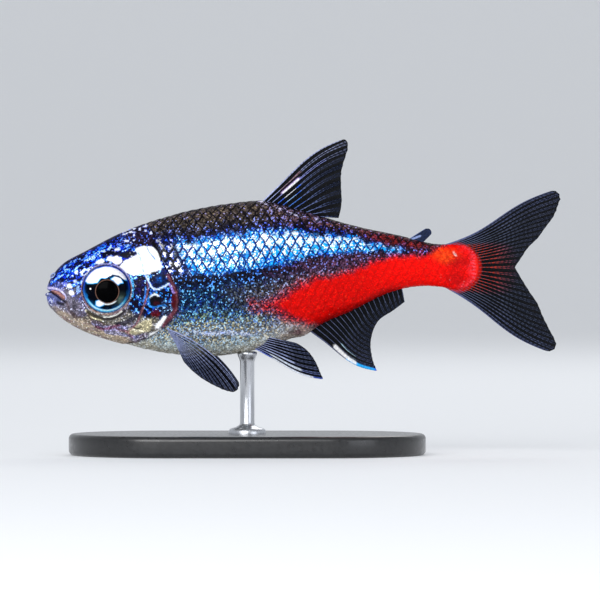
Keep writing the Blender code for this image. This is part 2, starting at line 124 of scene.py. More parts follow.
def ramp(low: float | Array, high: float | Array, value: Array) -> Array:
    """Smooth rise from 0 at low to 1 at high: t^2 (3 - 2t). It falls where low is above high."""
    t = np.clip((value - low) / (high - low), 0.0, 1.0)
    return t * t * (3 - 2 * t)


def full_turn(count: int) -> Array:
    """Even angles round a full turn."""
    return np.linspace(0.0, 2 * math.pi, count, endpoint=False)


def bell(value: Array, width: float) -> Array:
    """exp(-(value / width)^2), a smooth bump of a given half width."""
    return np.exp(-((value / width) ** 2))


def line_distance(x: Array, z: Array, points: Points, closed: bool = False) -> Array:
    """Distance in the side view from places to a line of straight runs.

    Args:
        x: places along the fish.
        z: heights.
        points: the line's corners.
        closed: joins the last corner to the first.

    Returns:
        The least distance to any run, in millimetres.
    """
    corners = np.asarray(points, float)
    ends = np.roll(corners, -1, axis=0) if closed else corners[1:]
    least = np.full(np.shape(x), np.inf)
    for (ax, az), (bx, bz) in zip(corners, ends):
        run = (bx - ax) ** 2 + (bz - az) ** 2
        t = np.clip(((x - ax) * (bx - ax) + (z - az) * (bz - az)) / run, 0.0, 1.0)
        least = np.minimum(least, np.hypot(x - ax - t * (bx - ax), z - az - t * (bz - az)))
    return least


def inside_distance(x: Array, z: Array, points: Points) -> Array:
    """Signed distance in the side view from places to a closed outline.

    Args:
        x: places along the fish.
        z: heights.
        points: the outline's corners.

    Returns:
        Millimetres, positive inside by the even-odd rule.
    """
    corners = np.asarray(points, float)
    inside = np.zeros(np.shape(x), bool)
    for (ax, az), (bx, bz) in zip(corners, np.roll(corners, -1, axis=0)):
        if az != bz:
            inside ^= ((az > z) != (bz > z)) & (x < (bx - ax) * (z - az) / (bz - az) + ax)
    return np.where(inside, 1.0, -1.0) * line_distance(x, z, points, closed=True)


def spot(x: Array, z: Array, centre: tuple[float, float], radii: tuple[float, float], soft: float = 0.25) -> Array:
    """1 inside an ellipse and 0 outside it, with a soft edge that is a share of its size."""
    r = np.hypot((x - centre[0]) / radii[0], (z - centre[1]) / radii[1])
    return ramp(1 + soft, 1 - soft, r)


class LatticeNoise:
    """Smooth noise of 0 to 1: random values at the corners of a cubic lattice, eased between them."""

    def __init__(self, seed: int) -> None:
        """Draws the lattice's values."""
        self.table = np.random.default_rng(seed).random((64, 64, 64))

    def __call__(self, points: Array, size: float | tuple[float, float, float]) -> Array:
        """The noise at points.

        Args:
            points: places in mm, the last axis being x, y, z.
            size: the lattice's step in mm, one for all axes or one for each.

        Returns:
            A value of about 0 to 1 for each point.
        """
        scaled = points / np.asarray(size, float)
        cell = np.floor(scaled).astype(int)
        part = scaled - cell
        part = part * part * (3 - 2 * part)
        total = np.zeros(points.shape[:-1])
        for corner in np.ndindex(2, 2, 2):
            index = (cell + corner) % 64
            weight = np.prod(np.where(np.asarray(corner) == 1, part, 1 - part), axis=-1)
            total += weight * self.table[index[..., 0], index[..., 1], index[..., 2]]
        return total


def linear(hex_colour: str) -> Array:
    """An sRGB hex colour as three linear values."""
    srgb = np.array([int(hex_colour[i : i + 2], 16) for i in (1, 3, 5)]) / 255
    return np.where(srgb <= 0.04045, srgb / 12.92, ((srgb + 0.055) / 1.055) ** 2.4)


def rgba(hex_colour: str) -> tuple[float, ...]:
    """An sRGB hex colour as linear values with full opacity."""
    return (*linear(hex_colour), 1.0)


def blend(first: Array, second: Array | str, share: Array | float) -> Array:
    """Mixes colours.

    Args:
        first: linear colours.
        second: the same, or one sRGB hex colour.
        share: how much of the second, for each place or for all.

    Returns:
        The first where share is 0 and the second where it is 1.
    """
    if isinstance(second, str):
        second = linear(second)
    share = np.asarray(share, float)[..., None]
    return first * (1 - share) + second * share


# The body's form


BACK: Points = (
    (0.0, -0.3), (0.1, 0.35), (0.5, 1.08), (1.1, 1.75), (2.7, 2.66), (5.8, 4.2), (9.0, 5.28), (13.0, 6.05),
    (15.1, 6.22), (18.1, 5.46), (21.2, 4.55), (24.7, 3.78), (27.0, 3.22), (28.4, 3.16), (29.4, 3.06), (29.95, 2.6),
    (30.25, 1.54),
)
BELLY: Points = (
    (0.0, -0.3), (0.1, -1.0), (0.5, -1.52), (1.1, -2.07), (2.7, -2.98), (5.8, -3.95), (9.0, -4.57), (11.2, -4.72),
    (13.5, -4.48), (15.7, -3.98), (17.2, -3.44), (18.2, -3.2), (18.7, -2.82), (21.2, -1.6), (24.4, -0.12),
    (26.1, 0.2), (27.5, 0.16), (28.6, -0.04), (29.4, 0.08), (29.95, 0.52), (30.25, 1.54),
)
HALF_WIDTH: Points = (
    (0.0, 0.0), (0.25, 0.55), (1.0, 1.0), (2.7, 1.55), (4.3, 1.88), (7.0, 2.27), (10.5, 2.46), (14.0, 2.34),
    (18.0, 1.86), (22.0, 1.32), (26.0, 0.84), (28.6, 0.58), (29.8, 0.42), (30.25, 0.0),
)


@dataclass
class BodyForm:
    """The naked body: profiles of back, belly and half width, with sections rounder than an ellipse below
    and keeled above. Places on it are a polar angle, 0 at the lips to pi at the end of the flesh, and a
    turn round it, 0 at the back, pi at the belly, positive on the right flank."""

    snout: float = -17.95
    length: float = 30.25
    widest_share: float = 0.48
    back_power: float = 1.9
    belly_power: float = 2.1

    def __post_init__(self) -> None:
        """Makes the profiles functions of the polar angle."""
        self.top, self.bottom, self.half_width = (
            SmoothCurve(self.angle(self.snout + np.array(p)[:, 0]), np.array(p)[:, 1])
            for p in (BACK, BELLY, HALF_WIDTH)
        )

    def angle(self, x: Array) -> Array:
        """Polar angle of places along the fish: acos(1 - 2 share)."""
        return np.arccos(1 - 2 * np.clip((np.asarray(x, float) - self.snout) / self.length, 0.0, 1.0))

    def x(self, angle: Array) -> Array:
        """Places along the fish at polar angles."""
        return self.snout + self.length * (1 - np.cos(angle)) / 2

    def point(self, angle: Array, turn: Array) -> Array:
        """Points of the body's surface.

        Args:
            angle: polar angles.
            turn: turns round the body.

        Returns:
            x, y = w |sin t|^(2/n) and z = m + h |cos t|^(2/n), with the signs of sine and cosine, where w is
            the half width, m the widest level, h the reach above or below it and n the section's power.
        """
        top, bottom = self.top(angle), self.bottom(angle)
        widest = bottom + self.widest_share * (top - bottom)
        sine, cosine = np.sin(turn), np.cos(turn)
        power = 2 / np.where(cosine > 0, self.back_power, self.belly_power)
        reach = np.where(cosine > 0, top - widest, widest - bottom)
        y = self.half_width(angle) * np.sign(sine) * np.abs(sine) ** power
        z = widest + reach * np.sign(cosine) * np.abs(cosine) ** power
        return np.stack([self.x(angle) + 0 * turn, y, z], axis=-1)

    def normal(self, angle: Array, turn: Array) -> Array:
        """Outward normals of the body's surface.

        Args:
            angle: polar angles.
            turn: turns round the body.

        Returns:
            Unit vectors, the cross product of the surface's two slopes, which are taken a little off its ends.
        """
        step = 1e-3
        inner = np.clip(angle, 0.02, math.pi - 0.02)
        along = self.point(inner + step, turn) - self.point(inner - step, turn)
        around = self.point(inner, turn + step) - self.point(inner, turn - step)
        cross = np.cross(around, along)
        length = np.linalg.norm(cross, axis=-1, keepdims=True)
        cross = cross / np.maximum(length, 1e-12)
        outward = self.point(inner, turn) - np.stack(
            [self.x(inner) + 0 * turn, 0 * turn, (self.top(inner) + self.bottom(inner)) / 2 + 0 * turn], axis=-1
        )
        return cross * np.where((cross * outward).sum(-1, keepdims=True) < 0, -1.0, 1.0)

    def flank(self, x: Array, z: Array) -> Array:
        """Half the body's width at places of the side view.

        Args:
            x: places along the fish.
            z: heights.

        Returns:
            w (1 - share^n)^(1/n), where share is the height's part of the reach above or below the widest level.
        """
        angle = self.angle(x)
        top, bottom = self.top(angle), self.bottom(angle)
        widest = bottom + self.widest_share * (top - bottom)
        power = np.where(z > widest, self.back_power, self.belly_power)
        reach = np.maximum(np.where(z > widest, top - widest, widest - bottom), 1e-12)
        share = np.abs(z - widest) / reach
        return self.half_width(angle) * np.maximum(1 - np.minimum(share, 1.0) ** power, 0.0) ** (1 / power)


class FlankMap:
    """Turns of places given by their distance along the skin, up or down from the widest level."""

    def __init__(self, form: BodyForm) -> None:
        """Tabulates the arc length of half sections along the body.

        Args:
            form: the body's form.
        """
        self.xs = np.linspace(form.snout + 0.3, form.snout + form.length - 0.3, 240)
        self.shares = np.linspace(-1.0, 1.0, 121)
        turns = np.linspace(0.0, math.pi, 361)
        side = len(turns) // 2  # the turn of the widest level
        angles = form.angle(self.xs)
        points = form.point(angles[:, None] + 0 * turns, turns + 0 * angles[:, None])
        steps = np.linalg.norm(np.diff(points, axis=1), axis=-1)
        arc = np.concatenate([np.zeros((len(self.xs), 1)), np.cumsum(steps, axis=1)], axis=1)
        middle = arc[:, side : side + 1]
        self.up, self.down = middle[:, 0], (arc[:, -1:] - middle)[:, 0]
        height = middle - arc
        share = np.where(height > 0, height / self.up[:, None], height / self.down[:, None])
        self.table = np.stack([np.interp(self.shares, row[::-1], turns[::-1]) for row in share])

    def reach(self, x: Array) -> tuple[Array, Array]:
        """The skin's length from the widest level to the back and to the belly."""
        return np.interp(x, self.xs, self.up), np.interp(x, self.xs, self.down)

    def turn(self, x: Array, arc: Array) -> Array:
        """Turns round the body, read from the table.

        Args:
            x: places along the fish.
            arc: distances along the skin, positive towards the back.

        Returns:
            A turn of 0 to pi for each place.
        """
        up, down = self.reach(x)
        share = np.clip(np.where(arc > 0, arc / up, arc / down), -1.0, 1.0)
        column = np.interp(x, self.xs, np.arange(len(self.xs)))
        row = (share + 1) / 2 * (len(self.shares) - 1)
        i = np.clip(column.astype(int), 0, len(self.xs) - 2)
        j = np.clip(row.astype(int), 0, len(self.shares) - 2)
        a, b = column - i, row - j
        low = self.table[i, j] * (1 - b) + self.table[i, j + 1] * b
        high = self.table[i + 1, j] * (1 - b) + self.table[i + 1, j + 1] * b
        return low * (1 - a) + high * a


# Meshes and materials


def grid_faces(rows: int, columns: int, wrap: bool = False) -> Array:
    """Quads of a grid of points numbered row by row.

    Args:
        rows: number of rows.
        columns: points in a row.
        wrap: joins the last column to the first.

    Returns:
        Four point numbers for each face.
    """
    r, c = np.meshgrid(np.arange(rows - 1), np.arange(columns if wrap else columns - 1), indexing="ij")
    here, after = r * columns + c, r * columns + (c + 1) % columns
    return np.stack([here, after, after + columns, here + columns], -1).reshape(-1, 4)


def fan_closed(rows: int, columns: int) -> list[list[int]]:
    """Faces of a wrapped grid with a fan at each end.

    Args:
        rows: number of rows.
        columns: points in a row.

    Returns:
        The faces, whose fans meet at two further points: the middles of the first and the last row.
    """
    ring = np.arange(columns)
    after = np.roll(ring, -1)
    middle, end = rows * columns, (rows - 1) * columns
    fans = np.array([[0 * ring + middle, after, ring], [0 * ring + middle + 1, end + ring, end + after]])
    return grid_faces(rows, columns, wrap=True).tolist() + fans.transpose(0, 2, 1).reshape(-1, 3).tolist()


def turned(radius: Array, height: Array, turn: Array, middle: Array | float = 0.0) -> Array:
    """A profile turned round an upright axis.

    Args:
        radius: the profile's distances from the axis.
        height: its heights.
        turn: angles round the axis.
        middle: the axis's place along X, one for all angles or one for each.

    Returns:
        Points x = m + r cos t, y = r sin t, z = h, a row for each place of the profile.
    """
    x = middle + radius[:, None] * np.cos(turn)
    y = radius[:, None] * np.sin(turn)
    return np.stack([x, y, np.broadcast_to(height[:, None], x.shape)], axis=-1)


def many_faces(faces: Array, count: int, size: int) -> Array:
    """The same faces repeated for count pieces of size points each."""
    return (faces[None] + (np.arange(count) * size)[:, None, None]).reshape(-1, faces.shape[-1])


def new_piece(
    name: str,
    points: Array,
    faces: list[list[int]],
    material: Material,
    replaced: tuple[str, ...] = (),
    attributes: dict[str, Array] | None = None,
    check_closed: bool = True,
) -> bpy.types.Object:
    """Makes a piece that rides on the fish's body.

    Args:
        name: the piece's name.
        points: places in mm in the fish's frame, of any shape that ends in 3.
        faces: lists of point numbers.
        material: its finish.
        replaced: CAD nodes that it stands for.
        attributes: by name, a colour and one further value for each point, which the material reads.
        check_closed: turns a closed form right side out.

    Returns:
        The new object, in metres, at the origin.
    """
    places = np.asarray(points, float).reshape(-1, 3) * MM
    places[:, 2] += SWIM_HEIGHT * MM
    mesh = bpy.data.meshes.new(name)
    if check_closed:
        corners = np.array([face[:3] for face in faces])
        quads = np.array([[face[0], face[2], face[-1]] for face in faces])
        volume = 0.0
        for part in (corners, quads):
            a, b, c = (places[part[:, i]] - places.mean(0) for i in range(3))
            volume += float((a * np.cross(b, c)).sum())
        if volume < 0:
            faces = [face[::-1] for face in faces]
    mesh.from_pydata(places.tolist(), [], faces)
    for label, values in (attributes or {}).items():
        layer = mesh.attributes.new(label, "FLOAT_COLOR", "POINT")
        layer.data.foreach_set("color", np.ascontiguousarray(values.reshape(-1, 4), np.float32).ravel())
    mesh.shade_smooth()
    mesh.materials.append(material)
    piece = bpy.data.objects.new(name, mesh)
    bpy.context.scene.collection.objects.link(piece)
    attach(piece, BODY)
    if replaced:
        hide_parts(*replaced)
    LOG.info("%s: %d points, %d faces", name, len(places), len(faces))
    return piece


def with_value(colour: Array, value: Array | float) -> Array:
    """Colours with a fourth number beside them."""
    value = np.broadcast_to(np.asarray(value, float), colour.shape[:-1])
    return np.concatenate([np.clip(colour, 0.0, 1.0), value[..., None]], axis=-1)


def set_inputs(tree: Tree, node: bpy.types.Node, inputs: dict[str | int, object]) -> None:
    """Gives a node's inputs their values and links.

    Args:
        tree: the material's nodes.
        node: the node.
        inputs: by name or number, a value or the output socket to link.
    """
    for key, value in inputs.items():
        if isinstance(value, Socket):
            tree.links.new(value, node.inputs[key])
        else:
            node.inputs[key].default_value = value


def add_node(tree: Tree, kind: str, inputs: dict[str | int, object] | None = None, **settings: object) -> Sockets:
    """Adds a node with its settings, values and links.

    Args:
        tree: the material's nodes.
        kind: the node's type, without the prefix that all share.
        inputs: as for set_inputs.
        settings: the node's own properties.

    Returns:
        The node's output sockets.
    """
    node = tree.nodes.new(f"ShaderNode{kind}")
    for key, value in settings.items():
        setattr(node, key, value)
    set_inputs(tree, node, inputs or {})
    return node.outputs


def new_material(name: str) -> tuple[Material, Tree, bpy.types.Node]:
    """A material with its node tree and its one shader.

    Args:
        name: the material's name.

    Returns:
        The three.
    """
    material = bpy.data.materials.new(name)
    material.use_nodes = True
    return material, material.node_tree, material.node_tree.nodes["Principled BSDF"]


def speckle(tree: Tree, size_mm: float, low: float, high: float, stretch: Point = (1.0, 1.0, 1.0)) -> Socket:
    """Noise of a real grain size that rises from 0 to 1 between two levels.

    Args:
        tree: the material's nodes.
        size_mm: the grain's width.
        low: noise level where it is 0.
        high: noise level where it is 1.
        stretch: how much longer the grains are along each axis.

    Returns:
        The output socket, of 0 to 1.
    """
    scale = [1 / (size_mm * MM) / times for times in stretch]
    place = add_node(tree, "Mapping", {"Vector": add_node(tree, "TexCoord")["Object"], "Scale": scale})[0]
    noise = add_node(tree, "TexNoise", {"Vector": place, "Scale": 1.0, "Detail": 2.0, "Roughness": 0.6})[0]
    levels = {"Value": noise, "From Min": low, "From Max": high}
    return add_node(tree, "MapRange", levels, interpolation_type="SMOOTHSTEP")[0]


@dataclass(frozen=True)
class FishSkinFinish:
    """Living fish skin: pigment cells and guanine crystals a tenth of a millimetre wide, dark and bright by
    turns, which give the eye a fine grain of coloured sparks, under a thin clear coat of slime."""

    name: str = "wet_fish_skin"
    cell_size: float = 0.095  # mm, a cell of pigment or crystal
    roughness: float = 0.36
    slime_weight: float = 0.04
    slime_roughness: float = 0.12
    relief: float = 0.35
    scaled: bool = False

    def material(self) -> Material:
        """Builds the mosaic.

        Returns:
            A material that reads "tint" (pigment, grain), "second" (other pigment, its share), "spark"
            (crystal colour, its share) and, on scales, "rim" (seam's strength, blue, red, distance from the
            free edge).
        """
        material, tree, shader = new_material(self.name)
        tint, second, spark = (add_node(tree, "Attribute", attribute_name=word) for word in ("tint", "second", "spark"))
        place = add_node(tree, "TexCoord")["Object"]
        cells = add_node(tree, "TexVoronoi", {"Vector": place, "Scale": 1 / (self.cell_size * MM)})
        chance = add_node(tree, "SeparateColor", {0: cells["Color"]})
        # Brightness: most cells dim, a few bright, 0.2 + 2.6 c^3, drawn towards 1 where the grain is weak
        rare = add_node(tree, "Math", {0: chance[0], 1: 3.0}, operation="POWER")[0]
        gain = add_node(tree, "Math", {0: rare, 1: 2.6, 2: 0.2}, operation="MULTIPLY_ADD")[0]
        gain = add_node(tree, "Mix", {FACTOR: tint["Alpha"], 2: 1.0, 3: gain}, data_type="FLOAT")[0]
        other = add_node(tree, "MapRange", {"Value": chance[1], "From Min": 0.35, "From Max": 0.6})[0]
        share = add_node(tree, "Math", {0: other, 1: second["Alpha"]}, operation="MULTIPLY")[0]
        both = {FACTOR: share, FIRST: tint["Color"], SECOND: second["Color"]}
        pigment = add_node(tree, "Mix", both, data_type="RGBA")[MIXED]
        grained = add_node(tree, "VectorMath", {0: pigment, "Scale": gain}, operation="SCALE")[0]
        # Crystals: the cells whose third number is above 1 - share
        above = add_node(tree, "Math", {0: chance[2], 1: spark["Alpha"]}, operation="ADD")[0]
        lit = add_node(tree, "Math", {0: above, 1: 25.0, 2: -25.0}, operation="MULTIPLY_ADD", use_clamp=True)[0]
        sparks = {FACTOR: lit, FIRST: grained, SECOND: spark["Color"]}
        colour = add_node(tree, "Mix", sparks, data_type="RGBA")[MIXED]
        set_inputs(tree, shader, {
            "Base Color": self.seams(tree, colour, chance) if self.scaled else colour,
            "Metallic": add_node(tree, "Math", {0: lit, 1: 0.4}, operation="MULTIPLY")[0],
            "Roughness": self.roughness,
            "Specular IOR Level": 0.04,
            "Coat Weight": self.slime_weight,
            "Coat Roughness": self.slime_roughness,
            "Normal": add_node(tree, "Bump", {"Height": chance[0], "Strength": self.relief, "Distance": 0.006 * MM})[0],
        })
        return material

    def seams(self, tree: Tree, colour: Socket, chance: Sockets) -> Socket:
        """Draws the seams between scales: near black, blue on the stripe with cyan cells beside them, red in
        the red band. The cells' chances fray them.

        Args:
            tree: the material's nodes.
            colour: the scale's colour.
            chance: three random numbers for each cell.

        Returns:
            The colour with its seams.
        """
        rim = add_node(tree, "Attribute", attribute_name="rim")
        strength, blue, red = list(add_node(tree, "SeparateColor", {0: rim["Color"]}))[:3]
        fray = add_node(tree, "Math", {0: chance[0], 1: 0.05, 2: rim["Alpha"]}, operation="MULTIPLY_ADD")[0]
        away = {"Value": fray, "To Max": 0.0}
        near = add_node(tree, "MapRange", {**away, "From Min": 0.09, "From Max": 0.16, "To Min": 1.0})[0]
        wide = add_node(tree, "MapRange", {**away, "From Min": 0.08, "From Max": 0.36, "To Min": 0.9})[0]
        glow = add_node(tree, "Math", {0: wide, 1: blue}, operation="MULTIPLY")[0]
        over = add_node(tree, "Math", {0: glow, 1: chance[2]}, operation="SUBTRACT")[0]
        glow = add_node(tree, "Math", {0: over, 1: 6.0}, operation="MULTIPLY", use_clamp=True)[0]
        share = add_node(tree, "Math", {0: near, 1: strength}, operation="MULTIPLY")[0]
        seam = rgba("#07060c")
        for part, hue in ((blue, "#030a64"), (red, "#b80a05")):
            seam = add_node(tree, "Mix", {FACTOR: part, FIRST: seam, SECOND: rgba(hue)}, data_type="RGBA")[MIXED]
        for part, upper in ((glow, rgba("#10a0fc")), (share, seam)):
            colour = add_node(tree, "Mix", {FACTOR: part, FIRST: colour, SECOND: upper}, data_type="RGBA")[MIXED]
        return colour


def tinted(tree: Tree, grain: Socket, darkest: float) -> dict[str, Socket]:
    """The colour of "tint", darkened by a grain, and its fourth value.

    Args:
        tree: the material's nodes.
        grain: a socket of 0 to 1.
        darkest: brightness where the grain is 0.

    Returns:
        The sockets "Color" and "Alpha".
    """
    tint = add_node(tree, "Attribute", attribute_name="tint")
    shade = add_node(tree, "MapRange", {"Value": grain, "To Min": darkest, "To Max": 1.0})[0]
    colour = add_node(tree, "VectorMath", {0: tint["Color"], "Scale": shade}, operation="SCALE")[0]
    return {"Color": colour, "Alpha": tint["Alpha"]}


@dataclass(frozen=True)
class EyeFinish:
    """A fish's eye: a painted iris of silver and blue crystal with painted highlights on it, under a clear wet
    cornea, which gives the ball small sharp highlights over a black pupil."""

    name: str = "wet_eye"
    fibre_mm: float = 0.1  # the iris fibres' width

    def material(self) -> Material:
        """Builds the eye.

        Returns:
            A material that reads "tint", the iris pattern, with how metallic it is.
        """
        material, tree, shader = new_material(self.name)
        tint = tinted(tree, speckle(tree, self.fibre_mm, 0.35, 0.6), 0.82)
        set_inputs(tree, shader, {
            "Base Color": tint["Color"],
            "Metallic": tint["Alpha"],
            "Roughness": 0.3,
            "Specular IOR Level": 0.01,
            "Coat Weight": 0.02,
            "Coat Roughness": 0.03,
        })
        return material


@dataclass(frozen=True)
class FinFinish:
    """Fin membrane or ray: clear, horny tissue with dusky pigment, wet on both sides, which lets some of
    what is behind it through."""

    name: str
    roughness: float
    cell_mm: float = 0.13  # a cell of dusky pigment

    def material(self) -> Material:
        """Builds the tissue.

        Returns:
            A material that reads "tint", the tissue's colour, with how opaque it is.
        """
        material, tree, shader = new_material(self.name)
        tint = tinted(tree, speckle(tree, self.cell_mm, 0.3, 0.65), 0.62)
        set_inputs(tree, shader, {
            "Base Color": tint["Color"],
            "Alpha": tint["Alpha"],
            "Roughness": self.roughness,
            "Specular IOR Level": 0.03,
            "Coat Weight": 0.01,
            "Coat Roughness": 0.2,
        })
        return material


@dataclass(frozen=True)
class StandFinish:
    """The stand's two made surfaces: satin black acrylic, and steel rod with drawing lines along it."""

    name: str
    colour: str
    metallic: float
    roughness: float
    grain_mm: float
    stretch: Point
    coat: float

    def material(self) -> Material:
        """Builds the surface.

        Returns:
            A material whose colour and roughness waver a little along the grain.
        """
        material, tree, shader = new_material(self.name)
        grain = speckle(tree, self.grain_mm, 0.3, 0.7, self.stretch)
        lighter = (*np.clip(linear(self.colour) * 1.35 + 0.004, 0, 1), 1.0)
        tones = {FACTOR: grain, FIRST: rgba(self.colour), SECOND: lighter}
        rough = {"Value": grain, "To Min": self.roughness * 0.85, "To Max": self.roughness * 1.2}
        set_inputs(tree, shader, {
            "Base Color": add_node(tree, "Mix", tones, data_type="RGBA")[MIXED],
            "Roughness": add_node(tree, "MapRange", rough)[0],
            "Metallic": self.metallic,
            "Coat Weight": self.coat,
            "Coat Roughness": 0.12,
            "Normal": add_node(tree, "Bump", {"Height": grain, "Strength": 0.08, "Distance": 0.01 * MM})[0],
        })
        return material


# Colours of the living fish


EYE_X, EYE_Z, EYE_RADIUS = -13.7, 0.02, 1.68
FLESH_X, FLESH_Z, FLESH_REACH = 10.4, 1.5, 1.75  # the round end of the tail's flesh
# lines and outlines of the head, and the lateral line
GILL_EDGE: Points = (
    (-10.6, 4.2), (-10.15, 2.96), (-9.75, 2.0), (-9.3, 1.15), (-8.95, 0.45), (-8.68, -0.2), (-8.6, -0.85),
    (-8.72, -1.5), (-9.12, -2.12), (-9.62, -2.66), (-10.7, -3.34), (-11.76, -3.76), (-13.0, -3.9),
)
LATERAL_LINE: Points = ((-8.3, 2.0), (-7.6, 2.12), (-6.4, 2.15), (-5.0, 2.34), (-4.1, 2.42), (-3.2, 2.62), (-1.9, 2.9))
CHEEK_LINE: Points = (
    (-10.85, 0.86), (-10.79, 0.09), (-10.88, -0.47), (-11.06, -1.03), (-11.34, -1.8), (-11.66, -2.43),
    (-12.25, -2.99),
)
GILL_CELL: Points = ((-10.92, 0.97), (-10.75, 0.58), (-10.57, 0.23), (-10.32, -0.04), (-9.87, 0.08), (-9.38, 0.43))
JAW_CREASE: Points = (
    (-17.71, -1.24), (-17.01, -1.59), (-16.38, -2.08), (-15.61, -2.5), (-14.49, -2.99), (-13.37, -3.41),
    (-12.25, -3.76),
)
CHIN_CREASE: Points = ((-16.38, -1.45), (-16.03, -1.87), (-15.33, -2.22), (-14.63, -2.57))
UPPER_LIP: Points = ((-17.82, 0.09), (-17.43, 0.08), (-17.08, -0.01), (-16.73, -0.26), (-16.55, -0.5), (-16.6, -0.75))
LOWER_LIP: Points = ((-17.95, -0.38), (-17.71, -0.33), (-17.43, -0.5), (-17.15, -0.67), (-16.9, -0.84))
MOUTH_LINE: Points = (
    (-17.95, -0.12), (-17.79, -0.17), (-17.5, -0.27), (-17.18, -0.47), (-16.91, -0.69), (-16.62, -0.88),
)
# edges of the neon stripe and the red band, and marks of back and tail
STRIPE_TOP: Points = (
    (-11.0, 3.1), (-9.24, 3.3), (-7.5, 3.4), (-5.67, 3.7), (-2.1, 4.08), (0.56, 4.0), (3.0, 3.7), (5.0, 3.2),
    (6.9, 2.85), (7.8, 2.72),
)
STRIPE_BOTTOM: Points = (
    (-11.0, 1.0), (-9.24, 1.05), (-7.5, 1.1), (-5.67, 1.2), (-2.1, 1.7), (0.56, 2.35), (3.0, 2.65), (5.0, 2.72),
    (6.9, 2.6), (7.8, 2.7),
)
RED_TOP: Points = (
    (-2.9, -1.2), (-2.1, -0.95), (-1.2, -0.4), (-0.3, 0.2), (0.56, 0.55), (1.96, 0.86), (3.7, 1.35), (5.95, 2.12),
    (8.6, 2.4), (9.6, 2.8), (10.4, 3.6),
)
RED_BOTTOM: Points = (
    (-2.9, -1.2), (-2.1, -1.25), (-1.2, -1.75), (-0.3, -2.15), (0.56, -2.4), (1.6, -2.6), (2.6, -3.2), (4.0, -4.2),
)
BACK_DASH_LINE: Points = ((-3.2, 6.25), (-2.2, 5.75), (-0.3, 5.2), (1.2, 4.85))
TAIL_ARC: Points = ((11.15, 3.2), (11.75, 2.9), (12.05, 2.3), (11.85, 1.5), (12.0, 0.8), (11.6, 0.25), (11.1, 0.0))
MOTTLES = (1.3, 0.45, 0.17)  # coarse, middle and fine mottling, mm
# outer edges of the fins, from the leading ray to the last
DORSAL_EDGE: Points = (
    (2.8, 10.48), (3.03, 10.47), (3.14, 10.3), (3.05, 9.44), (2.88, 8.93), (2.7, 8.2), (2.68, 7.3), (2.71, 6.0),
    (2.5, 5.0),
)
ANAL_EDGE: Points = ((5.2, -5.7), (4.85, -4.7), (4.75, -3.8), (5.3, -2.2), (6.3, -1.5), (7.1, -0.9))
ADIPOSE_EDGE: Points = ((8.6, 4.25), (8.9, 4.2), (9.0, 3.95), (8.8, 3.7))
CAUDAL_UPPER_EDGE: Points = (
    (17.45, 6.9), (17.75, 6.87), (17.96, 6.7), (18.03, 6.4), (17.92, 6.0), (17.57, 5.13), (17.01, 4.36),
    (16.45, 3.59), (15.75, 2.89), (15.3, 2.22), (14.85, 1.54),
)
CAUDAL_LOWER_EDGE: Points = (
    (17.0, -4.3), (17.35, -4.34), (17.62, -4.22), (17.75, -3.95), (17.68, -3.6), (17.29, -2.85), (16.8, -1.87),
    (16.45, -1.03), (15.89, -0.19), (15.33, 0.7), (14.85, 1.54),
)
PECTORAL_EDGE: Points = (
    (-4.62, -6.5), (-4.5, -6.72), (-4.52, -6.95), (-4.75, -7.1), (-5.2, -7.06), (-6.0, -6.75), (-7.3, -6.0),
    (-8.3, -5.05),
)
PELVIC_EDGE: Points = ((1.42, -6.25), (1.3, -6.0), (0.9, -5.1), (0.3, -4.3), (-0.45, -3.8))


class Mark(Enum):
    """How a marking fills its points: along them as a line, or the ground that they enclose."""

    LINE = "line"
    PATCH = "patch"


@dataclass(frozen=True)
class Marking:
    """One marking of the head, in the side view."""

    kind: Mark
    colour: str
    points: Points
    width: float = 0.07  # a line's half width, or a patch's softness
    strength: float = 1.0
    grain: float = 0.3  # how much the pigment's mosaic shows through
    steady: float = 0.55  # how little its edge frays
    broken: float = 0.0  # how far specks of the ground break it up
    crystals: float = 0.0  # share of its cells that are crystals of its colour, on blue

    def share(self, x: Array, z: Array) -> Array:
        """How much of the marking shows.

        Args:
            x: places along the fish, or the first value of places on a fin.
            z: heights, or the second value.

        Returns:
            Its strength on it and 0 off it.
        """
        if self.kind is Mark.LINE:
            return self.strength * ramp(1.5, 0.6, line_distance(x, z, self.points) / self.width)
        return self.strength * ramp(-self.width, self.width, inside_distance(x, z, self.points))


def oval(centre: tuple[float, float], radii: tuple[float, float]) -> Points:
    """Twelve points of an ellipse."""
    turn = full_turn(12)
    return tuple(zip(centre[0] + radii[0] * np.cos(turn), centre[1] + radii[1] * np.sin(turn)))


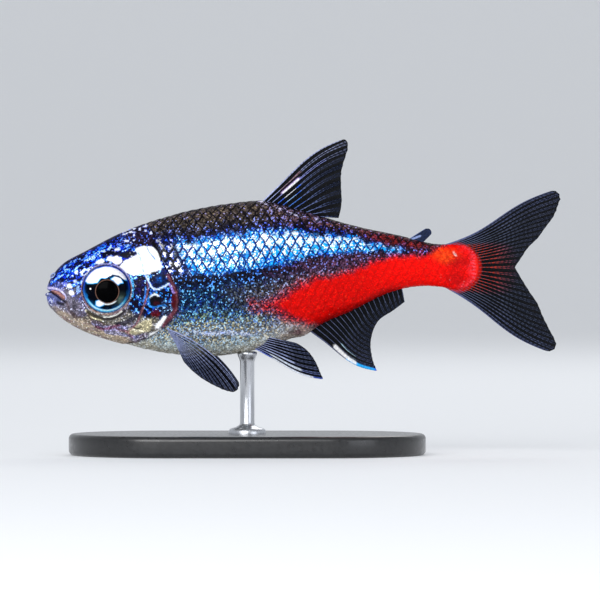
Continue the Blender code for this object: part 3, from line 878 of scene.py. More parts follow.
stroke, patch = partial(Marking, Mark.LINE), partial(Marking, Mark.PATCH)
HEAD_MARKINGS: tuple[Marking, ...] = (
    # cheek: plum and dark streaks, three of them painted shade, cream round the lower orbit, pale triangle before the
    # gill opening
    stroke("#9896c8", ((-14.6, -2.3), (-13.9, -2.66), (-13.0, -2.76), (-12.4, -2.64)), 0.18, 0.7, 1.0),
    stroke("#6b2c44", ((-14.49, -2.57), (-13.93, -2.74), (-13.09, -2.6), (-12.81, -2.5)), 0.09, 0.8, 0.8),
    stroke("#8f94c8", ((-13.8, -2.95), (-13.0, -3.1), (-12.2, -3.15), (-11.6, -3.3)), 0.12, 0.6, 1.0),
    stroke("#e8e0b0", ((-15.1, -1.5), (-14.63, -1.95), (-14.0, -2.15)), 0.10, 0.55, 1.0),
    patch("#c4bb96", ((-12.46, -3.06), (-12.11, -2.71), (-11.55, -2.43), (-10.85, -2.08), (-10.5, -2.01),
        (-10.5, -2.5), (-10.71, -2.85), (-11.2, -3.06), (-11.69, -3.2)), 0.08, 0.9, 0.5),
    # painted shade along the lower edge of the cheek
    stroke("#15102c", ((-12.95, -2.39), (-12.39, -2.29), (-11.69, -1.94), (-10.99, -1.59)), 0.14, 0.8, 0.6),
    # painted shade: a dark band behind the corner of the mouth
    stroke("#3d373f", ((-16.0, -0.82), (-15.96, -1.31), (-16.0, -1.87)), 0.12, 0.5, 0.8),
    stroke("#5c4a4c", ((-16.5, -0.85), (-16.3, -1.5), (-15.8, -2.1)), 0.08, 0.6, 0.6),
    stroke("#54402e", ((-15.05, -1.7), (-14.6, -2.25), (-13.9, -2.42)), 0.1, 0.7, 0.7),
    stroke("#8a5a68", ((-13.0, -2.75), (-12.4, -2.9), (-11.9, -3.3)), 0.08, 0.7, 0.6),
    stroke("#f0ead0", ((-12.1, -2.75), (-11.6, -2.9), (-11.2, -2.95)), 0.08, 0.7, 0.4),
    # painted shadow under the corner of the mouth
    stroke("#14100f", ((-17.15, -0.92), (-16.73, -1.03)), 0.10, 0.85),
    stroke("#7c5548", JAW_CREASE, 0.06, 0.6),
    stroke("#55303e", CHIN_CREASE, 0.06, 0.6),
    # forehead: blue-white streaks that follow the profile, white spots before and above the eye
    stroke("#cff4ff", ((-15.33, 1.91), (-14.91, 2.18), (-14.28, 2.33), (-14.21, 2.54), (-13.65, 2.83),
        (-13.09, 3.03), (-12.53, 3.14)), 0.09, 1.0, 0.6, 0.4, 1.0, 0.75),
    stroke("#8cc4ff", ((-16.84, 1.35), (-16.38, 1.77), (-15.96, 1.93), (-15.61, 2.18), (-15.12, 2.33)),
        0.08, 0.9, 0.7, 0.4, 1.0, 0.75),
    stroke("#bff0ff", ((-15.47, 1.56), (-15.19, 1.7), (-14.84, 1.81), (-14.49, 2.09), (-14.14, 2.33)),
        0.06, 0.9, 0.6, 0.4, 1.0, 0.75),
    stroke("#7cb4ff", ((-17.22, 0.72), (-17.01, 1.07), (-16.73, 1.32)), 0.07, 0.9, 0.9, 0.4, 1.0, 0.75),
    patch("#e6f4ff", ((-16.31, 1.0), (-16.1, 1.21), (-15.61, 1.39), (-15.12, 1.41), (-14.63, 1.67),
        (-14.55, 1.56), (-14.77, 1.32), (-15.12, 1.11), (-15.4, 0.93), (-15.61, 1.14), (-15.96, 1.04),
        (-16.17, 0.86)), 0.05, 1.0, 0.3, 0.4, 0.7, 0.85),
    patch("#ffffff", oval((-16.14, -0.22), (0.2, 0.18)), 0.05, 1.0, 0.0),
    patch("#e8f4ff", oval((-16.32, 0.2), (0.22, 0.15)), 0.05, 1.0, 0.2),
    patch("#9fc4ff", oval((-15.71, 0.05), (0.14, 0.26)), 0.06, 0.9, 0.5),
    patch("#cfe2ff", oval((-15.9, 0.58), (0.14, 0.13)), 0.05, 0.9, 0.3),
    patch("#7f8cff", oval((-16.66, 0.37), (0.2, 0.14)), 0.06, 0.9, 0.6),
    patch("#eef6ff", oval((-12.95, 2.82), (0.18, 0.1)), 0.05, 1.0, 0.2),
    patch("#07081a", ((-13.93, 2.61), (-13.51, 2.75), (-12.53, 2.58), (-12.39, 2.72), (-11.52, 2.65),
        (-11.59, 2.44), (-12.39, 2.09), (-12.6, 2.19), (-12.81, 2.37), (-13.23, 2.33), (-13.58, 2.44),
        (-13.86, 2.33)), 0.06, 0.95, 0.3),
    patch("#f4fbff", ((-14.49, 1.91), (-14.28, 2.02), (-13.93, 2.13), (-13.82, 1.98), (-13.93, 1.83),
        (-14.21, 1.76), (-14.48, 1.79)), 0.04, 1.0, 0.0),
    patch("#fbf6ff", ((-13.73, 2.13), (-13.58, 2.37), (-13.3, 2.26), (-12.95, 2.33), (-12.71, 2.18),
        (-12.59, 1.98), (-12.81, 1.77), (-13.09, 1.81), (-13.51, 1.98)), 0.04, 1.0, 0.0),
    # gill cover: dark ground with two round cells in shining outlines, and dark red where blood shows through
    patch("#1a1140", oval((-11.41, 0.2), (0.5, 0.65)), 0.12, 0.8, 0.9),
    patch("#06143a", oval((-10.01, 0.6), (0.55, 0.55)), 0.06, 0.95, 0.5),
    patch("#0c50a8", oval((-10.0, 0.72), (0.22, 0.24)), 0.12, 0.7, 1.0),
    patch("#07060f", oval((-10.32, -0.8), (0.42, 0.42)), 0.06, 1.0, 0.4),
    patch("#3a0a18", oval((-10.2, -0.95), (0.22, 0.16)), 0.06, 1.0, 0.5),
    patch("#560c16", oval((-10.26, -1.66), (0.34, 0.28)), 0.06, 0.95, 0.5),
    stroke("#49b8ff", ((-11.93, 0.72), (-11.83, 0.09), (-11.9, -0.47)), 0.07, 0.7, 1.0),
    stroke("#3f8fff", ((-10.97, 0.2), (-10.99, -0.47), (-11.13, -0.82)), 0.05, 0.9, 0.5),
    stroke("#83545c", CHEEK_LINE, 0.06, 0.9, 0.3),
    stroke("#2f78e8", GILL_CELL, 0.085, 0.8, 0.3),
    stroke("#dff2ff", GILL_CELL, 0.045, 1.0, 0.0),
    stroke("#2f8ff0", ((-10.71, -0.47), (-10.77, -0.82), (-10.68, -1.2), (-10.29, -1.24), (-9.73, -1.13),
        (-9.52, -1.17)), 0.055, 0.9, 0.5),
    stroke("#eaf6ff", ((-10.64, -0.50), (-10.36, -0.30), (-10.05, -0.40)), 0.045, 1.0, 0.1),
    stroke("#6b3a46", ((-9.38, 1.0), (-9.06, 0.51), (-8.86, -0.12), (-8.78, -0.75), (-8.9, -1.38),
        (-9.25, -1.94), (-9.7, -2.45)), 0.15, 0.95, 0.5),
    # painted highlight on the upper part of the gill cover's rim
    stroke("#9a84d8", ((-9.31, 0.37), (-9.02, -0.19)), 0.07, 0.8, 0.4),
    patch("#4d0a10", oval((-8.99, -0.82), (0.18, 0.5)), 0.05, 0.95, 0.4),
    patch("#fbfeff", ((-10.35, -2.6), (-10.07, -2.26), (-9.6, -1.81), (-9.45, -1.9), (-9.75, -2.3),
        (-10.12, -2.74)), 0.04, 1.0, 0.0),
    patch("#fbfeff", ((-10.79, -3.27), (-10.68, -3.02), (-10.2, -2.86), (-9.9, -2.68), (-9.84, -2.82),
        (-10.23, -3.22), (-10.68, -3.4)), 0.04, 1.0, 0.0),
    stroke("#0c0a14", ((-11.8, -2.68), (-11.45, -2.73), (-11.3, -2.62)), 0.06, 0.9, 0.0),
    # blaze: a white shield behind the eye, a painted highlight over the front of the stripe, with two broken blue
    # seams, and the black line behind it
    patch("#fbfeff", ((-12.84, 1.6), (-12.46, 1.98), (-11.55, 2.44), (-11.69, 2.89), (-11.13, 3.03),
        (-10.57, 3.0), (-10.15, 2.68), (-9.9, 2.33), (-9.94, 1.98), (-9.8, 1.63), (-9.9, 1.39), (-10.5, 1.21),
        (-10.71, 1.07), (-11.41, 1.04), (-11.97, 1.0), (-12.39, 1.21)), 0.04, 1.0, 0.0),
    stroke("#3c9cf0", ((-11.48, 2.55), (-11.2, 1.84), (-11.09, 1.21)), 0.035, 0.9, 0.3, 0.4, 0.8),
    stroke("#2c7ce0", ((-10.85, 2.95), (-10.71, 2.61), (-10.29, 2.12), (-9.94, 1.7)), 0.035, 0.9, 0.3, 0.4, 0.7),
    stroke("#05050c", ((-10.45, 3.2), (-9.88, 2.4), (-9.62, 1.77), (-9.36, 1.21)), 0.11, 0.95, 0.0),
    # bright crescent under the orbit between two dark lines
    stroke("#1a1210", ((-15.0, -1.55), (-14.6, -1.84), (-13.95, -2.04), (-13.35, -2.04), (-12.85, -1.83),
        (-12.45, -1.5)), 0.11, 0.9, 0.0, 0.95),
    stroke("#fffef4", ((-13.9, -1.93), (-13.4, -1.9), (-13.0, -1.76), (-12.62, -1.5)), 0.03, 1.0, 0.0, 1.0),
    # mouth: pink inner lip between lilac folds, and the slit under it as a dark line of painted shade
    stroke("#a8786e", ((-17.5, -0.17), (-17.05, -0.27), (-16.75, -0.57)), 0.13, 0.95, 0.2, 0.9),
    stroke("#0c0a14", MOUTH_LINE, 0.06, 0.9, 0.0, 1.0),
)
# painted highlights: bright streaks of light on the fins in white, cyan and blue, in places s and t of their sheets
DORSAL_HIGHLIGHTS: tuple[Marking, ...] = (
    stroke("#3f74ff", ((0.3, 0.02), (0.3, 0.36)), 0.018, 0.9),
    stroke("#f4f6ff", ((0.3, 0.14), (0.3, 0.29)), 0.014, 1.0),
    stroke("#3f7cff", ((0.4, 0.02), (0.4, 0.32)), 0.018, 0.8),
    stroke("#9fc8ff", ((0.4, 0.10), (0.4, 0.24)), 0.012, 1.0),
    stroke("#3f8cff", ((0.5, 0.04), (0.5, 0.26)), 0.016, 0.7),
    stroke("#3f6cd0", ((0.6, 0.04), (0.6, 0.26)), 0.016, 0.6),
    stroke("#9aa2ea", ((0.2, 0.1), (0.2, 0.75)), 0.018, 0.8),
    stroke("#a86a50", ((0.1, 0.2), (0.1, 0.45)), 0.018, 0.6),
    stroke("#d8a8ff", ((0.178, 0.18), (0.178, 0.38)), 0.025, 0.7),
    stroke("#ffffff", ((0.186, 0.18), (0.186, 0.38)), 0.02, 1.0),
)
ANAL_HIGHLIGHTS: tuple[Marking, ...] = (
    stroke("#8a7c90", ((0.02, 0.05), (0.02, 0.4)), 0.014, 0.5),
    stroke("#1f6cff", ((0.0, 0.62), (0.0, 1.0)), 0.026, 1.0),
    stroke("#2fb8ff", ((0.015, 0.6), (0.008, 0.96)), 0.02, 1.0),
    stroke("#ffffff", ((0.03, 0.38), (0.022, 0.72)), 0.021, 1.0),
    stroke("#c8f0ff", ((0.09, 0.45), (0.08, 0.72)), 0.018, 0.8),
)
ADIPOSE_HIGHLIGHTS: tuple[Marking, ...] = (stroke("#a4b8f0", ((0.15, 0.1), (0.3, 0.35)), 0.1, 0.8),)
PELVIC_HIGHLIGHTS: tuple[Marking, ...] = (
    stroke("#3f5cc4", ((0.0, 0.15), (0.0, 1.0)), 0.03, 0.7),
    stroke("#eef4ff", ((0.0, 0.3), (0.0, 0.85)), 0.03, 1.0),
    stroke("#e4eeff", ((0.125, 0.25), (0.125, 0.7)), 0.03, 1.0),
    stroke("#c4d0f8", ((0.25, 0.15), (0.25, 0.6)), 0.02, 0.9),
    stroke("#a4b0e0", ((0.375, 0.1), (0.375, 0.5)), 0.02, 0.7),
)


@dataclass(frozen=True)
class Pigment:
    """A mosaic of cells: two colours of pigment, with crystals among them."""

    tint: str
    second: str = ""  # the colour of its other cells, if any
    grain: float = 1.0  # how strongly the cells differ in brightness
    other: float = 0.6  # how many cells have the second colour
    spark: str = "#ffffff"  # the crystals' colour
    sparkle: float | Array = 0.0  # how many cells are crystals


# the trunk's ground, back and ridge
GROUND_BLUE = Pigment("#262a4e", "#14162a", 1.0, 0.6, "#5f86ff", 0.10)
BACK_UMBER = Pigment("#463e34", "#2c2838", 0.9, 0.5, "#98a4f0", 0.11)
BACK_OLIVE = Pigment("#5c5040", "#423a4e", 0.9, 0.5, "#b4a8e0", 0.10)
REAR_BACK_PLUM = Pigment("#583a48", "#704638", 1.0, 0.6, "#a894f8", 0.14)
TAIL_BACK_RUSSET = Pigment("#6a1a20", "#82261e", 0.8, 0.6, "#a0589c", 0.05)
RIDGE_DARK = Pigment("#2b2430", "#1c1a26", 0.8, 0.5, "#a9a0d8", 0.05)
# flank and belly
FLANK_NIGHT = Pigment("#050a24", "#05060f", 1.0, 0.5, "#4c94ff", 0.15)
FLANK_TEAL = Pigment("#0a2462", "#0c3c44", 1.0, 0.6, "#70c4ff", 0.13)
FLANK_GOLD = Pigment("#343e5a", "#564e36", 1.0, 0.7, "#94acdc", 0.09)
FLANK_GREEN = Pigment("#28589c", "#6c7c48", 1.0, 0.8, "#90dcf4", 0.13)
FLANK_SAND = Pigment("#708cac", "#b0a274", 0.8, 0.8, "#d8f4ff", 0.12)
REAR_FLANK_PLUM = Pigment("#4e3046", "#382238", 1.0, 0.6, "#7c78c8", 0.08)
REAR_FLANK_ROSE = Pigment("#6e4a56", "#8c5a52", 0.8, 0.6, "#d8b4c4", 0.06)
BELLY_SILVER = Pigment("#a8c0cc", "#ccc4a4", 0.5, 0.6, "#ecfcff", 0.28)
BELLY_CREAM = Pigment("#c8bca0", "#b4b8b4", 0.4, 0.5, "#fcffff", 0.14)
REAR_BELLY_PINK = Pigment("#ab9094", "#b59c84", 0.4, 0.6, "#f0e4ea", 0.04)
# neon stripe, with a painted highlight on its upper half, and lateral line
STRIPE_COBALT = Pigment("#0a44cc", "#1f94fa", 1.0, 0.6, "#b8ecff", 0.15)
STRIPE_AZURE = Pigment("#1896e8", "#48c8ff", 0.9, 0.5, "#f4ffff", 0.26)
STRIPE_WHITE_HIGHLIGHT = Pigment("#eafcff", "#6cd0fc", 0.3, 0.5, "#ffffff", 0.42)
STRIPE_CYAN = Pigment("#7cdcff", "#38b8fc", 0.6, 0.5, "#ffffff", 0.5)
LATERAL_NAVY = Pigment("#06187c", "#0a2cb0", 0.6)
# red band
RED_SPECKS = Pigment("#4a2038", "#e8160a", 0.9, 0.5, "#e8200c", 0.16)
RED_BAND = Pigment("#cc0402", "#e60e04", 0.2, 0.5, "#f03a1c", 0.03)
RED_BRIGHT = Pigment("#ec0603", "#f81206", 0.16, 0.5, "#f43a1c", 0.02)
RED_SHADED = Pigment("#860606", "#a01010", 0.4, 0.5)
# small marks of the trunk
BACK_DASHES = Pigment("#3a3058", "#2c2440", 0.8, 0.5, "#f0ecff", 0.75)
BELLY_THREAD = Pigment("#9aa8dc", "#b8c4f0", 0.5, 0.5, "#e4e8ff", 0.5)
VENT_WINE = Pigment("#4b1c30", "", 0.5)
SHOULDER_NAVY = Pigment("#03082e", "#081258", 0.9, 0.5, "#2f6cff", 0.10)
SHOULDER_SPARKS = Pigment("#0c2a9c", "#1a50d8", 0.6, 0.5, "#ffffff", 0.85)
# root of the tail
TAIL_ORANGE = Pigment("#ff5414", "#ff2a06", 0.4, 0.5)
TAIL_MUSCLE = Pigment("#9c080c", "#b80c10", 0.3, 0.5)
TAIL_PINK = Pigment("#ff5464", "#ff2c34", 0.3, 0.5)
TAIL_EDGE = Pigment("#ff2820", "", 0.2)
TAIL_DOT = Pigment("#fff0ea", "", 0.0)
# head, from the ground to the gill covers and orbits
HEAD_GREY = Pigment("#7c7a7c", "#8c8468", 0.85, 0.6, "#e8ecec", 0.11)
HEAD_LILAC = Pigment("#686690", "#806a86", 0.85, 0.5, "#d8dcff", 0.11)
SNOUT_GREY = Pigment("#6c6878", "#7c7684", 0.4, 0.6, "#d8dcff", 0.05)
CHEEK_BROWN = Pigment("#4d4438", "#6b3a48", 0.7, 0.5)
THROAT_CREAM_AND_RIM_LIGHT = Pigment("#ac9c90", "#bcac94", 0.34, 0.6, "#f4ece0", 0.05)
THROAT_LIGHT = Pigment("#c8b898", "#b4948c", 0.4, 0.5, "#f4f0e4", 0.06)
THROAT_FOLDS = Pigment("#7c6468", "#8a6c60", 0.5, 0.5, "#e0e4f0", 0.05)
JAW_VIOLET = Pigment("#4f5ba8", "#7d8ad8", 0.6, 0.6, "#e0e6ff", 0.12)
CROWN_NAVY = Pigment("#0a0c34", "#05061a", 0.9, 0.5, "#2850ff", 0.12)
CROWN_BLUE = Pigment("#0424c8", "#0850f4", 0.8, 0.5, "#38a0ff", 0.16)
CROWN_STREAKS = Pigment("#0858f0", "#0c88ff", 0.6, 0.5, "#b8ecff", 0.48)
CROWN_RIDGE = Pigment("#1c1c34", "#2d2c50", 0.8, 0.5, "#6f78d8", 0.12)
NAPE_DARK = Pigment("#1a1426", "#2a1c34", 0.9, 0.6, "#5878f0", 0.12)
NAPE_DOTS = Pigment("#3f5ce0", "#5f7cf0", 0.4, 0.5, "#f4f8ff", 0.85)
COVER_DARK = Pigment("#05081f", "#120828", 0.9, 0.6, "#2f94ff", 0.07)
COVER_DOTS = Pigment("#0838b8", "#1888f0", 0.8, 0.4, "#90e4ff", 0.35)
COVER_REAR = Pigment("#22223c", "#344868", 0.9, 0.6, "#9fd0ff", 0.12)
ORBIT_ROSE = Pigment("#8d6a62", "", 0.3)
ORBIT_LILAC = Pigment("#8b90d0", "", 0.3)
GILL_SLIT_SHADE = Pigment("#10080e", "", 0.3)
NOSTRIL_BLUE = Pigment("#8fa0d0", "", 0.3, 0.0, "#eef2ff", 0.1)


@dataclass
class Layers:
    """The pigment at each place while it is painted: the fields of Pigment, one value for each place."""

    tint: Array
    second: Array
    spark: Array
    grain: Array
    other: Array
    sparkle: Array

    @classmethod
    def plain(cls, shape: tuple[int, ...]) -> "Layers":
        """Black everywhere, without sparks."""
        rgb, one = shape + (3,), shape
        return cls(np.zeros(rgb), np.zeros(rgb), np.ones(rgb), np.ones(one), np.zeros(one), np.zeros(one))

    def lay(self, share: Array | float, pigment: Pigment) -> None:
        """Lays a pigment over the rest.

        Args:
            share: how much of it, 0 to 1 at each place.
            pigment: its colours and cells.
        """
        share = np.broadcast_to(np.asarray(share, float), self.grain.shape)
        self.tint = blend(self.tint, pigment.tint, share)
        self.second = blend(self.second, pigment.second or pigment.tint, share)
        self.spark = blend(self.spark, pigment.spark, share)
        self.grain = self.grain * (1 - share) + pigment.grain * share
        self.other = self.other * (1 - share) + pigment.other * share
        self.sparkle = self.sparkle * (1 - share) + pigment.sparkle * share

    def over(self, upper: "Layers", share: Array) -> "Layers":
        """Another painting over this one.

        Args:
            upper: the other painting.
            share: how much of it, 0 to 1 at each place.

        Returns:
            The mixed painting.
        """
        wide = share[..., None]
        return Layers(
            *(getattr(self, n) * (1 - wide) + getattr(upper, n) * wide for n in ("tint", "second", "spark")),
            *(getattr(self, n) * (1 - share) + getattr(upper, n) * share for n in ("grain", "other", "sparkle")),
        )

    def attributes(self) -> dict[str, Array]:
        """What the skin's finish reads.

        Returns:
            The three colours with their fourth values, by name.
        """
        return {
            "tint": with_value(self.tint, self.grain),
            "second": with_value(self.second, self.other),
            "spark": with_value(self.spark, self.sparkle),
        }


@dataclass
class Markings:
    """The fish's colours as functions of a place on its flank, the same for skin and scales."""

    form: BodyForm
    seed: int = 7

    def __post_init__(self) -> None:
        """Makes the noise, and smooth curves of the edges of stripe and red band."""
        self.noise = LatticeNoise(self.seed)
        self.stripe_top, self.stripe_bottom, self.red_top, self.red_bottom = (
            SmoothCurve(*np.transpose(edge)) for edge in (STRIPE_TOP, STRIPE_BOTTOM, RED_TOP, RED_BOTTOM)
        )

    def behind_gills(self, x: Array, z: Array) -> Array:
        """Distance in mm behind the gill cover's rear edge, along the fish."""
        xs, zs = np.transpose(GILL_EDGE[::-1])
        return x - np.where(z > zs[-1], xs[-1] - (z - zs[-1]) * 0.9, np.interp(z, zs, xs))

    def paint(self, points: Array) -> Layers:
        """Colours of places on the fish. The places are first shifted by up to a tenth of a millimetre, which
        frays every edge.

        Args:
            points: the places, in mm.

        Returns:
            The trunk's colours, with the head's over them in front of the gill openings.
        """
        shape = points.shape[:-1]
        x, z = (
            points[..., axis]
            + 0.22 * (self.noise(points + 9.0 * draw, 0.42) - 0.5)
            + 0.12 * (self.noise(points - 7.0 * draw, 0.17) - 0.5)
            for axis, draw in ((0, 1), (2, 2))
        )
        mottles = [self.noise(points, size) for size in MOTTLES]
        trunk, head = Layers.plain(shape), Layers.plain(shape)
        self.trunk(trunk, x, z, mottles)
        self.head(head, points, x, z, mottles)
        return trunk.over(head, ramp(0.04, -0.04, self.behind_gills(points[..., 0], points[..., 2])))

    def trunk(self, layers: Layers, x: Array, z: Array, mottles: list[Array]) -> None:
        """Paints all behind the gill covers: brown back, neon stripe with a painted highlight, blue flank, silver
        belly, red band.

        Args:
            layers: the painting.
            x: places along the fish, frayed.
            z: heights, frayed.
            mottles: noise of the three sizes.
        """
        lay = layers.lay
        coarse, middle, fine = mottles
        ragged = (middle - 0.5) * 0.5 + (fine - 0.5) * 0.5
        angle = self.form.angle(x)
        top, bottom = self.form.top(angle), self.form.bottom(angle)
        high, low = self.stripe_top(x), self.stripe_bottom(x)
        rear = ramp(-4.5, 2.5, x)

        lay(1.0, GROUND_BLUE)
        above = z - high
        lay(ramp(0.2, 1.0, above + ragged), BACK_UMBER)
        lay(ramp(0.9, 1.9, above + 1.2 * (coarse - 0.5)), BACK_OLIVE)
        lay(ramp(0.0, 0.5, above) * rear * 0.9, REAR_BACK_PLUM)
        lay(ramp(0.0, 0.35, above) * ramp(3.2, 5.6, x), TAIL_BACK_RUSSET)
        lay(0.8 * ramp(0.35, 0.0, top - z), RIDGE_DARK)

        below = low - z
        flank = ramp(0.1, -0.1, above)
        lay(flank, FLANK_NIGHT)
        lay(flank * ramp(0.5, 1.3, below + ragged), FLANK_TEAL)
        gold = ramp(-6.5, -3.5, x + 2 * (coarse - 0.5)) * ramp(0.6, 1.6, below)
        lay(flank * gold * 0.85, FLANK_GOLD)
        lay(flank * ramp(2.2, 3.3, below + 0.8 * (coarse - 0.5)) * (1 - 0.5 * rear), FLANK_GREEN)
        sand = ramp(-1.9, -3.0, z + 1.0 * (coarse - 0.5))
        lay(flank * sand * (1 - 0.35 * rear), FLANK_SAND)
        lay(flank * ramp(0.0, 0.4, below) * rear * ramp(1.7, 0.9, below), REAR_FLANK_PLUM)
        lay(flank * ramp(0.9, 2.2, below) * rear, REAR_FLANK_ROSE)
        belly = ramp(1.35, 0.45, z - bottom + 0.5 * (coarse - 0.5))
        lay(belly * 0.95, BELLY_SILVER)
        lay(0.8 * ramp(0.75, 0.25, z - bottom + 0.4 * (middle - 0.5)), BELLY_CREAM)
        lay(belly * rear, REAR_BELLY_PINK)

        fringe = ramp(-0.3, 0.05, above + 0.6 * ragged) * ramp(0.7, 0.2, above + 1.2 * ragged) * ramp(6.2, 3.6, x)
        lay(fringe * 0.9, Pigment("#080c30", "#07081a", 1.0, 0.5, "#1f4cf4", 0.17 - 0.09 * rear))
        stripe = self.stripe(x, z, ragged)
        level = (z - low) / np.maximum(high - low, 0.05)
        thin = ramp(1.0, 5.0, x)
        lay(stripe * (1 - 0.6 * ramp(3.4, 5.6, x)), STRIPE_COBALT)
        core = ramp(0.1, 0.3, level + 0.6 * ragged) * ramp(1.0, 0.8, level + 0.5 * ragged)
        lay(stripe * core * (1 - 0.5 * ramp(3.4, 5.6, x)), STRIPE_AZURE)
        # painted highlight: the upper half of the stripe turned white, over its own bright cyan
        white = ramp(0.44, 0.58, level + 0.6 * ragged - 0.1 * thin) * ramp(0.98, 0.84, level + 0.7 * ragged)
        lay(stripe * white * (1 - 0.45 * thin), STRIPE_WHITE_HIGHLIGHT)
        lower = spot(level, (coarse - 0.5) * 4, (0.24, 0.3), (0.14, 1.2), 0.5) * ramp(0.5, 0.62, middle)
        lay(stripe * lower * 0.9, STRIPE_CYAN)
        lateral = bell(line_distance(x, z, LATERAL_LINE), 0.075)
        lay(stripe * lateral * 0.95, LATERAL_NAVY)

        into_red = np.minimum(self.red_top(x) - z, z - self.red_bottom(x)) + 0.4 * ragged
        into_red = np.minimum(into_red, 0.5 * (x + 2.6) + 0.9 * ragged)
        fore = ramp(1.6, -1.0, x)
        lay(ramp(-0.5 - 0.3 * fore, 0.05, into_red) * 0.95, RED_SPECKS)
        red = ramp(-0.12, 0.22 + 0.3 * fore, into_red)
        lay(red, RED_BAND)
        lay(red * ramp(3.0, 7.0, x) * 0.9, RED_BRIGHT)
        lay(red * ramp(0.7, 0.1, z - bottom + 0.3 * ragged) * ramp(8.5, 5.0, x) * 0.75, RED_SHADED)
        self.tail_root(layers, x, z)

        dashes = bell(line_distance(x, z, BACK_DASH_LINE), 0.1) * ramp(0.4, 0.5, fine)
        lay(dashes * 0.9, BACK_DASHES)
        thread = bell(z + 3.06, 0.08) * ramp(-8.6, -8.2, x) * ramp(-2.6, -3.8, x)
        lay(thread * 0.85, BELLY_THREAD)
        lay(spot(x, z, (-0.45, -2.95), (0.5, 0.2), 0.5) * 0.8, VENT_WINE)

        shoulder = self.shoulder(x, z)
        slant = self.noise(np.stack([(x + 0.55 * z) * 5.2, 0 * x, (z - 0.55 * x) * 1.5], -1), 1.0)
        lay(shoulder * 0.95, SHOULDER_NAVY)
        lay(shoulder * ramp(0.5, 0.56, slant), SHOULDER_SPARKS)

    def stripe(self, x: Array, z: Array, ragged: Array | float) -> Array:
        """How far places are in the neon stripe.

        Args:
            x: places along the fish.
            z: heights.
            ragged: shifts of the stripe's edges.

        Returns:
            1 in the stripe and 0 outside it, with combed edges.
        """
        above, below = z - self.stripe_top(x), self.stripe_bottom(x) - z
        comb = self.noise(np.stack([(x + 0.3 * z) / 0.32, 0 * x, z / 1.6], -1), 1.0) - 0.5
        inside = ramp(-0.1, 0.1, -below + 0.7 * ragged) * ramp(-0.1, 0.1, -above + 0.8 * ragged + 0.7 * comb)
        return inside * ramp(7.5, 6.1, x + 1.2 * ragged)

    def shoulder(self, x: Array, z: Array) -> Array:
        """How far a place is on the dark shoulder between gill cover and stripe."""
        return ramp(2.0, 0.9, self.behind_gills(x, z)) * ramp(0.7, 1.2, z) * ramp(3.8, 3.2, z)

    def tail_root(self, layers: Layers, x: Array, z: Array) -> None:
        """Paints the end of the flesh: an orange patch, a white dot, two darker muscles, and the pink roots of
        the rays in an arc of dashes.

        Args:
            layers: the painting.
            x: places along the fish, frayed.
            z: heights, frayed.
        """
        lay = layers.lay
        lay(spot(x, z, (9.95, 2.35), (0.75, 0.45), 0.7) * 0.85, TAIL_ORANGE)
        for centre in ((10.9, 1.9), (10.7, 0.7)):
            lay(spot(x, z, centre, (0.8, 0.5), 0.8) * 0.65, TAIL_MUSCLE)
        dashes = 0.5 + 0.5 * np.sin(np.arctan2(z - 1.5, x - 9.9) * 60)
        lay(bell(line_distance(x, z, TAIL_ARC), 0.26) * dashes * 0.95, TAIL_PINK)
        lay(ramp(11.9, 12.15, x) * 0.9, TAIL_EDGE)
        lay(spot(x, z, (10.57, 2.54), (0.09, 0.07), 0.4) * 0.9, TAIL_DOT)

    def head(self, layers: Layers, points: Array, x: Array, z: Array, mottles: list[Array]) -> None:
        """Paints the head: streaked blue forehead, white blaze as a painted highlight, dark gill covers and silver
        cheeks, with painted shade in its slits and a painted rim light under the throat.

        Args:
            layers: the painting.
            points: the places, in mm.
            x: places along the fish, frayed.
            z: heights, frayed.
            mottles: noise of the three sizes.
        """
        lay = layers.lay
        coarse, middle, fine = mottles
        angle = self.form.angle(x)
        depth = self.form.top(angle) - z
        from_eye = np.hypot(points[..., 0] - EYE_X, points[..., 2] - EYE_Z)

        lay(1.0, HEAD_GREY)
        lay(ramp(0.4, 0.65, coarse) * 0.75, HEAD_LILAC)
        snout = ramp(-15.2, -15.9, x) * ramp(0.2, -0.3, z)
        lay(snout * 0.8, SNOUT_GREY)
        lay(bell(z + 0.25 * (x + 14.0) + 2.55, 0.3) * ramp(0.42, 0.6, middle) * 0.7, CHEEK_BROWN)
        # the throat's own cream, with a painted rim light along the head's lower outline
        throat = ramp(1.0, 0.2, z - self.form.bottom(angle) + 0.9 * (coarse - 0.5)) * ramp(-17.7, -16.7, x)
        lay(throat * 0.8, THROAT_CREAM_AND_RIM_LIGHT)
        folds = self.noise(np.stack([x / 1.6, points[..., 1] / 0.5, z / 0.2], -1), 1.0)
        lay(throat * ramp(0.52, 0.62, folds) * 0.6, THROAT_LIGHT)
        lay(throat * ramp(0.44, 0.36, folds) * 0.6, THROAT_FOLDS)

        jaw = ramp(-16.5, -17.1, x) * ramp(-1.4, -0.5, z + 0.5 * (middle - 0.5))
        lay(jaw * 0.9, JAW_VIOLET)

        along = np.stack([(x * 0.83 + z * 0.56) / 0.5, 0 * x, (z * 0.83 - x * 0.56) / 0.115], -1)
        streak = 0.7 * self.noise(along, 1.0) + 0.3 * fine
        level = -1.1 + 0.9 * ramp(-15.0, -16.8, x)
        crown = ramp(level, level + 0.9, z + 0.5 * (middle - 0.5)) * ramp(-12.0, -12.6, x)
        crown = crown + ramp(0.6, 1.2, z) * ramp(-12.6, -12.0, x)
        lay(crown, CROWN_NAVY)
        open_zone = crown * ramp(0.1, 0.3, depth)
        lay(open_zone * ramp(0.46, 0.49, streak), CROWN_BLUE)
        lay(open_zone * ramp(0.60, 0.62, streak), CROWN_STREAKS)
        lay(ramp(0.22, 0.08, depth) * crown * 0.85, CROWN_RIDGE)
        nape = ramp(-13.2, -12.3, x) * ramp(2.75, 3.1, z + 0.3 * (middle - 0.5))
        lay(nape, NAPE_DARK)
        dots = self.noise(points, 0.2)
        lay(nape * ramp(0.62, 0.66, dots) * ramp(0.6, 0.3, depth - 0.5), NAPE_DOTS)

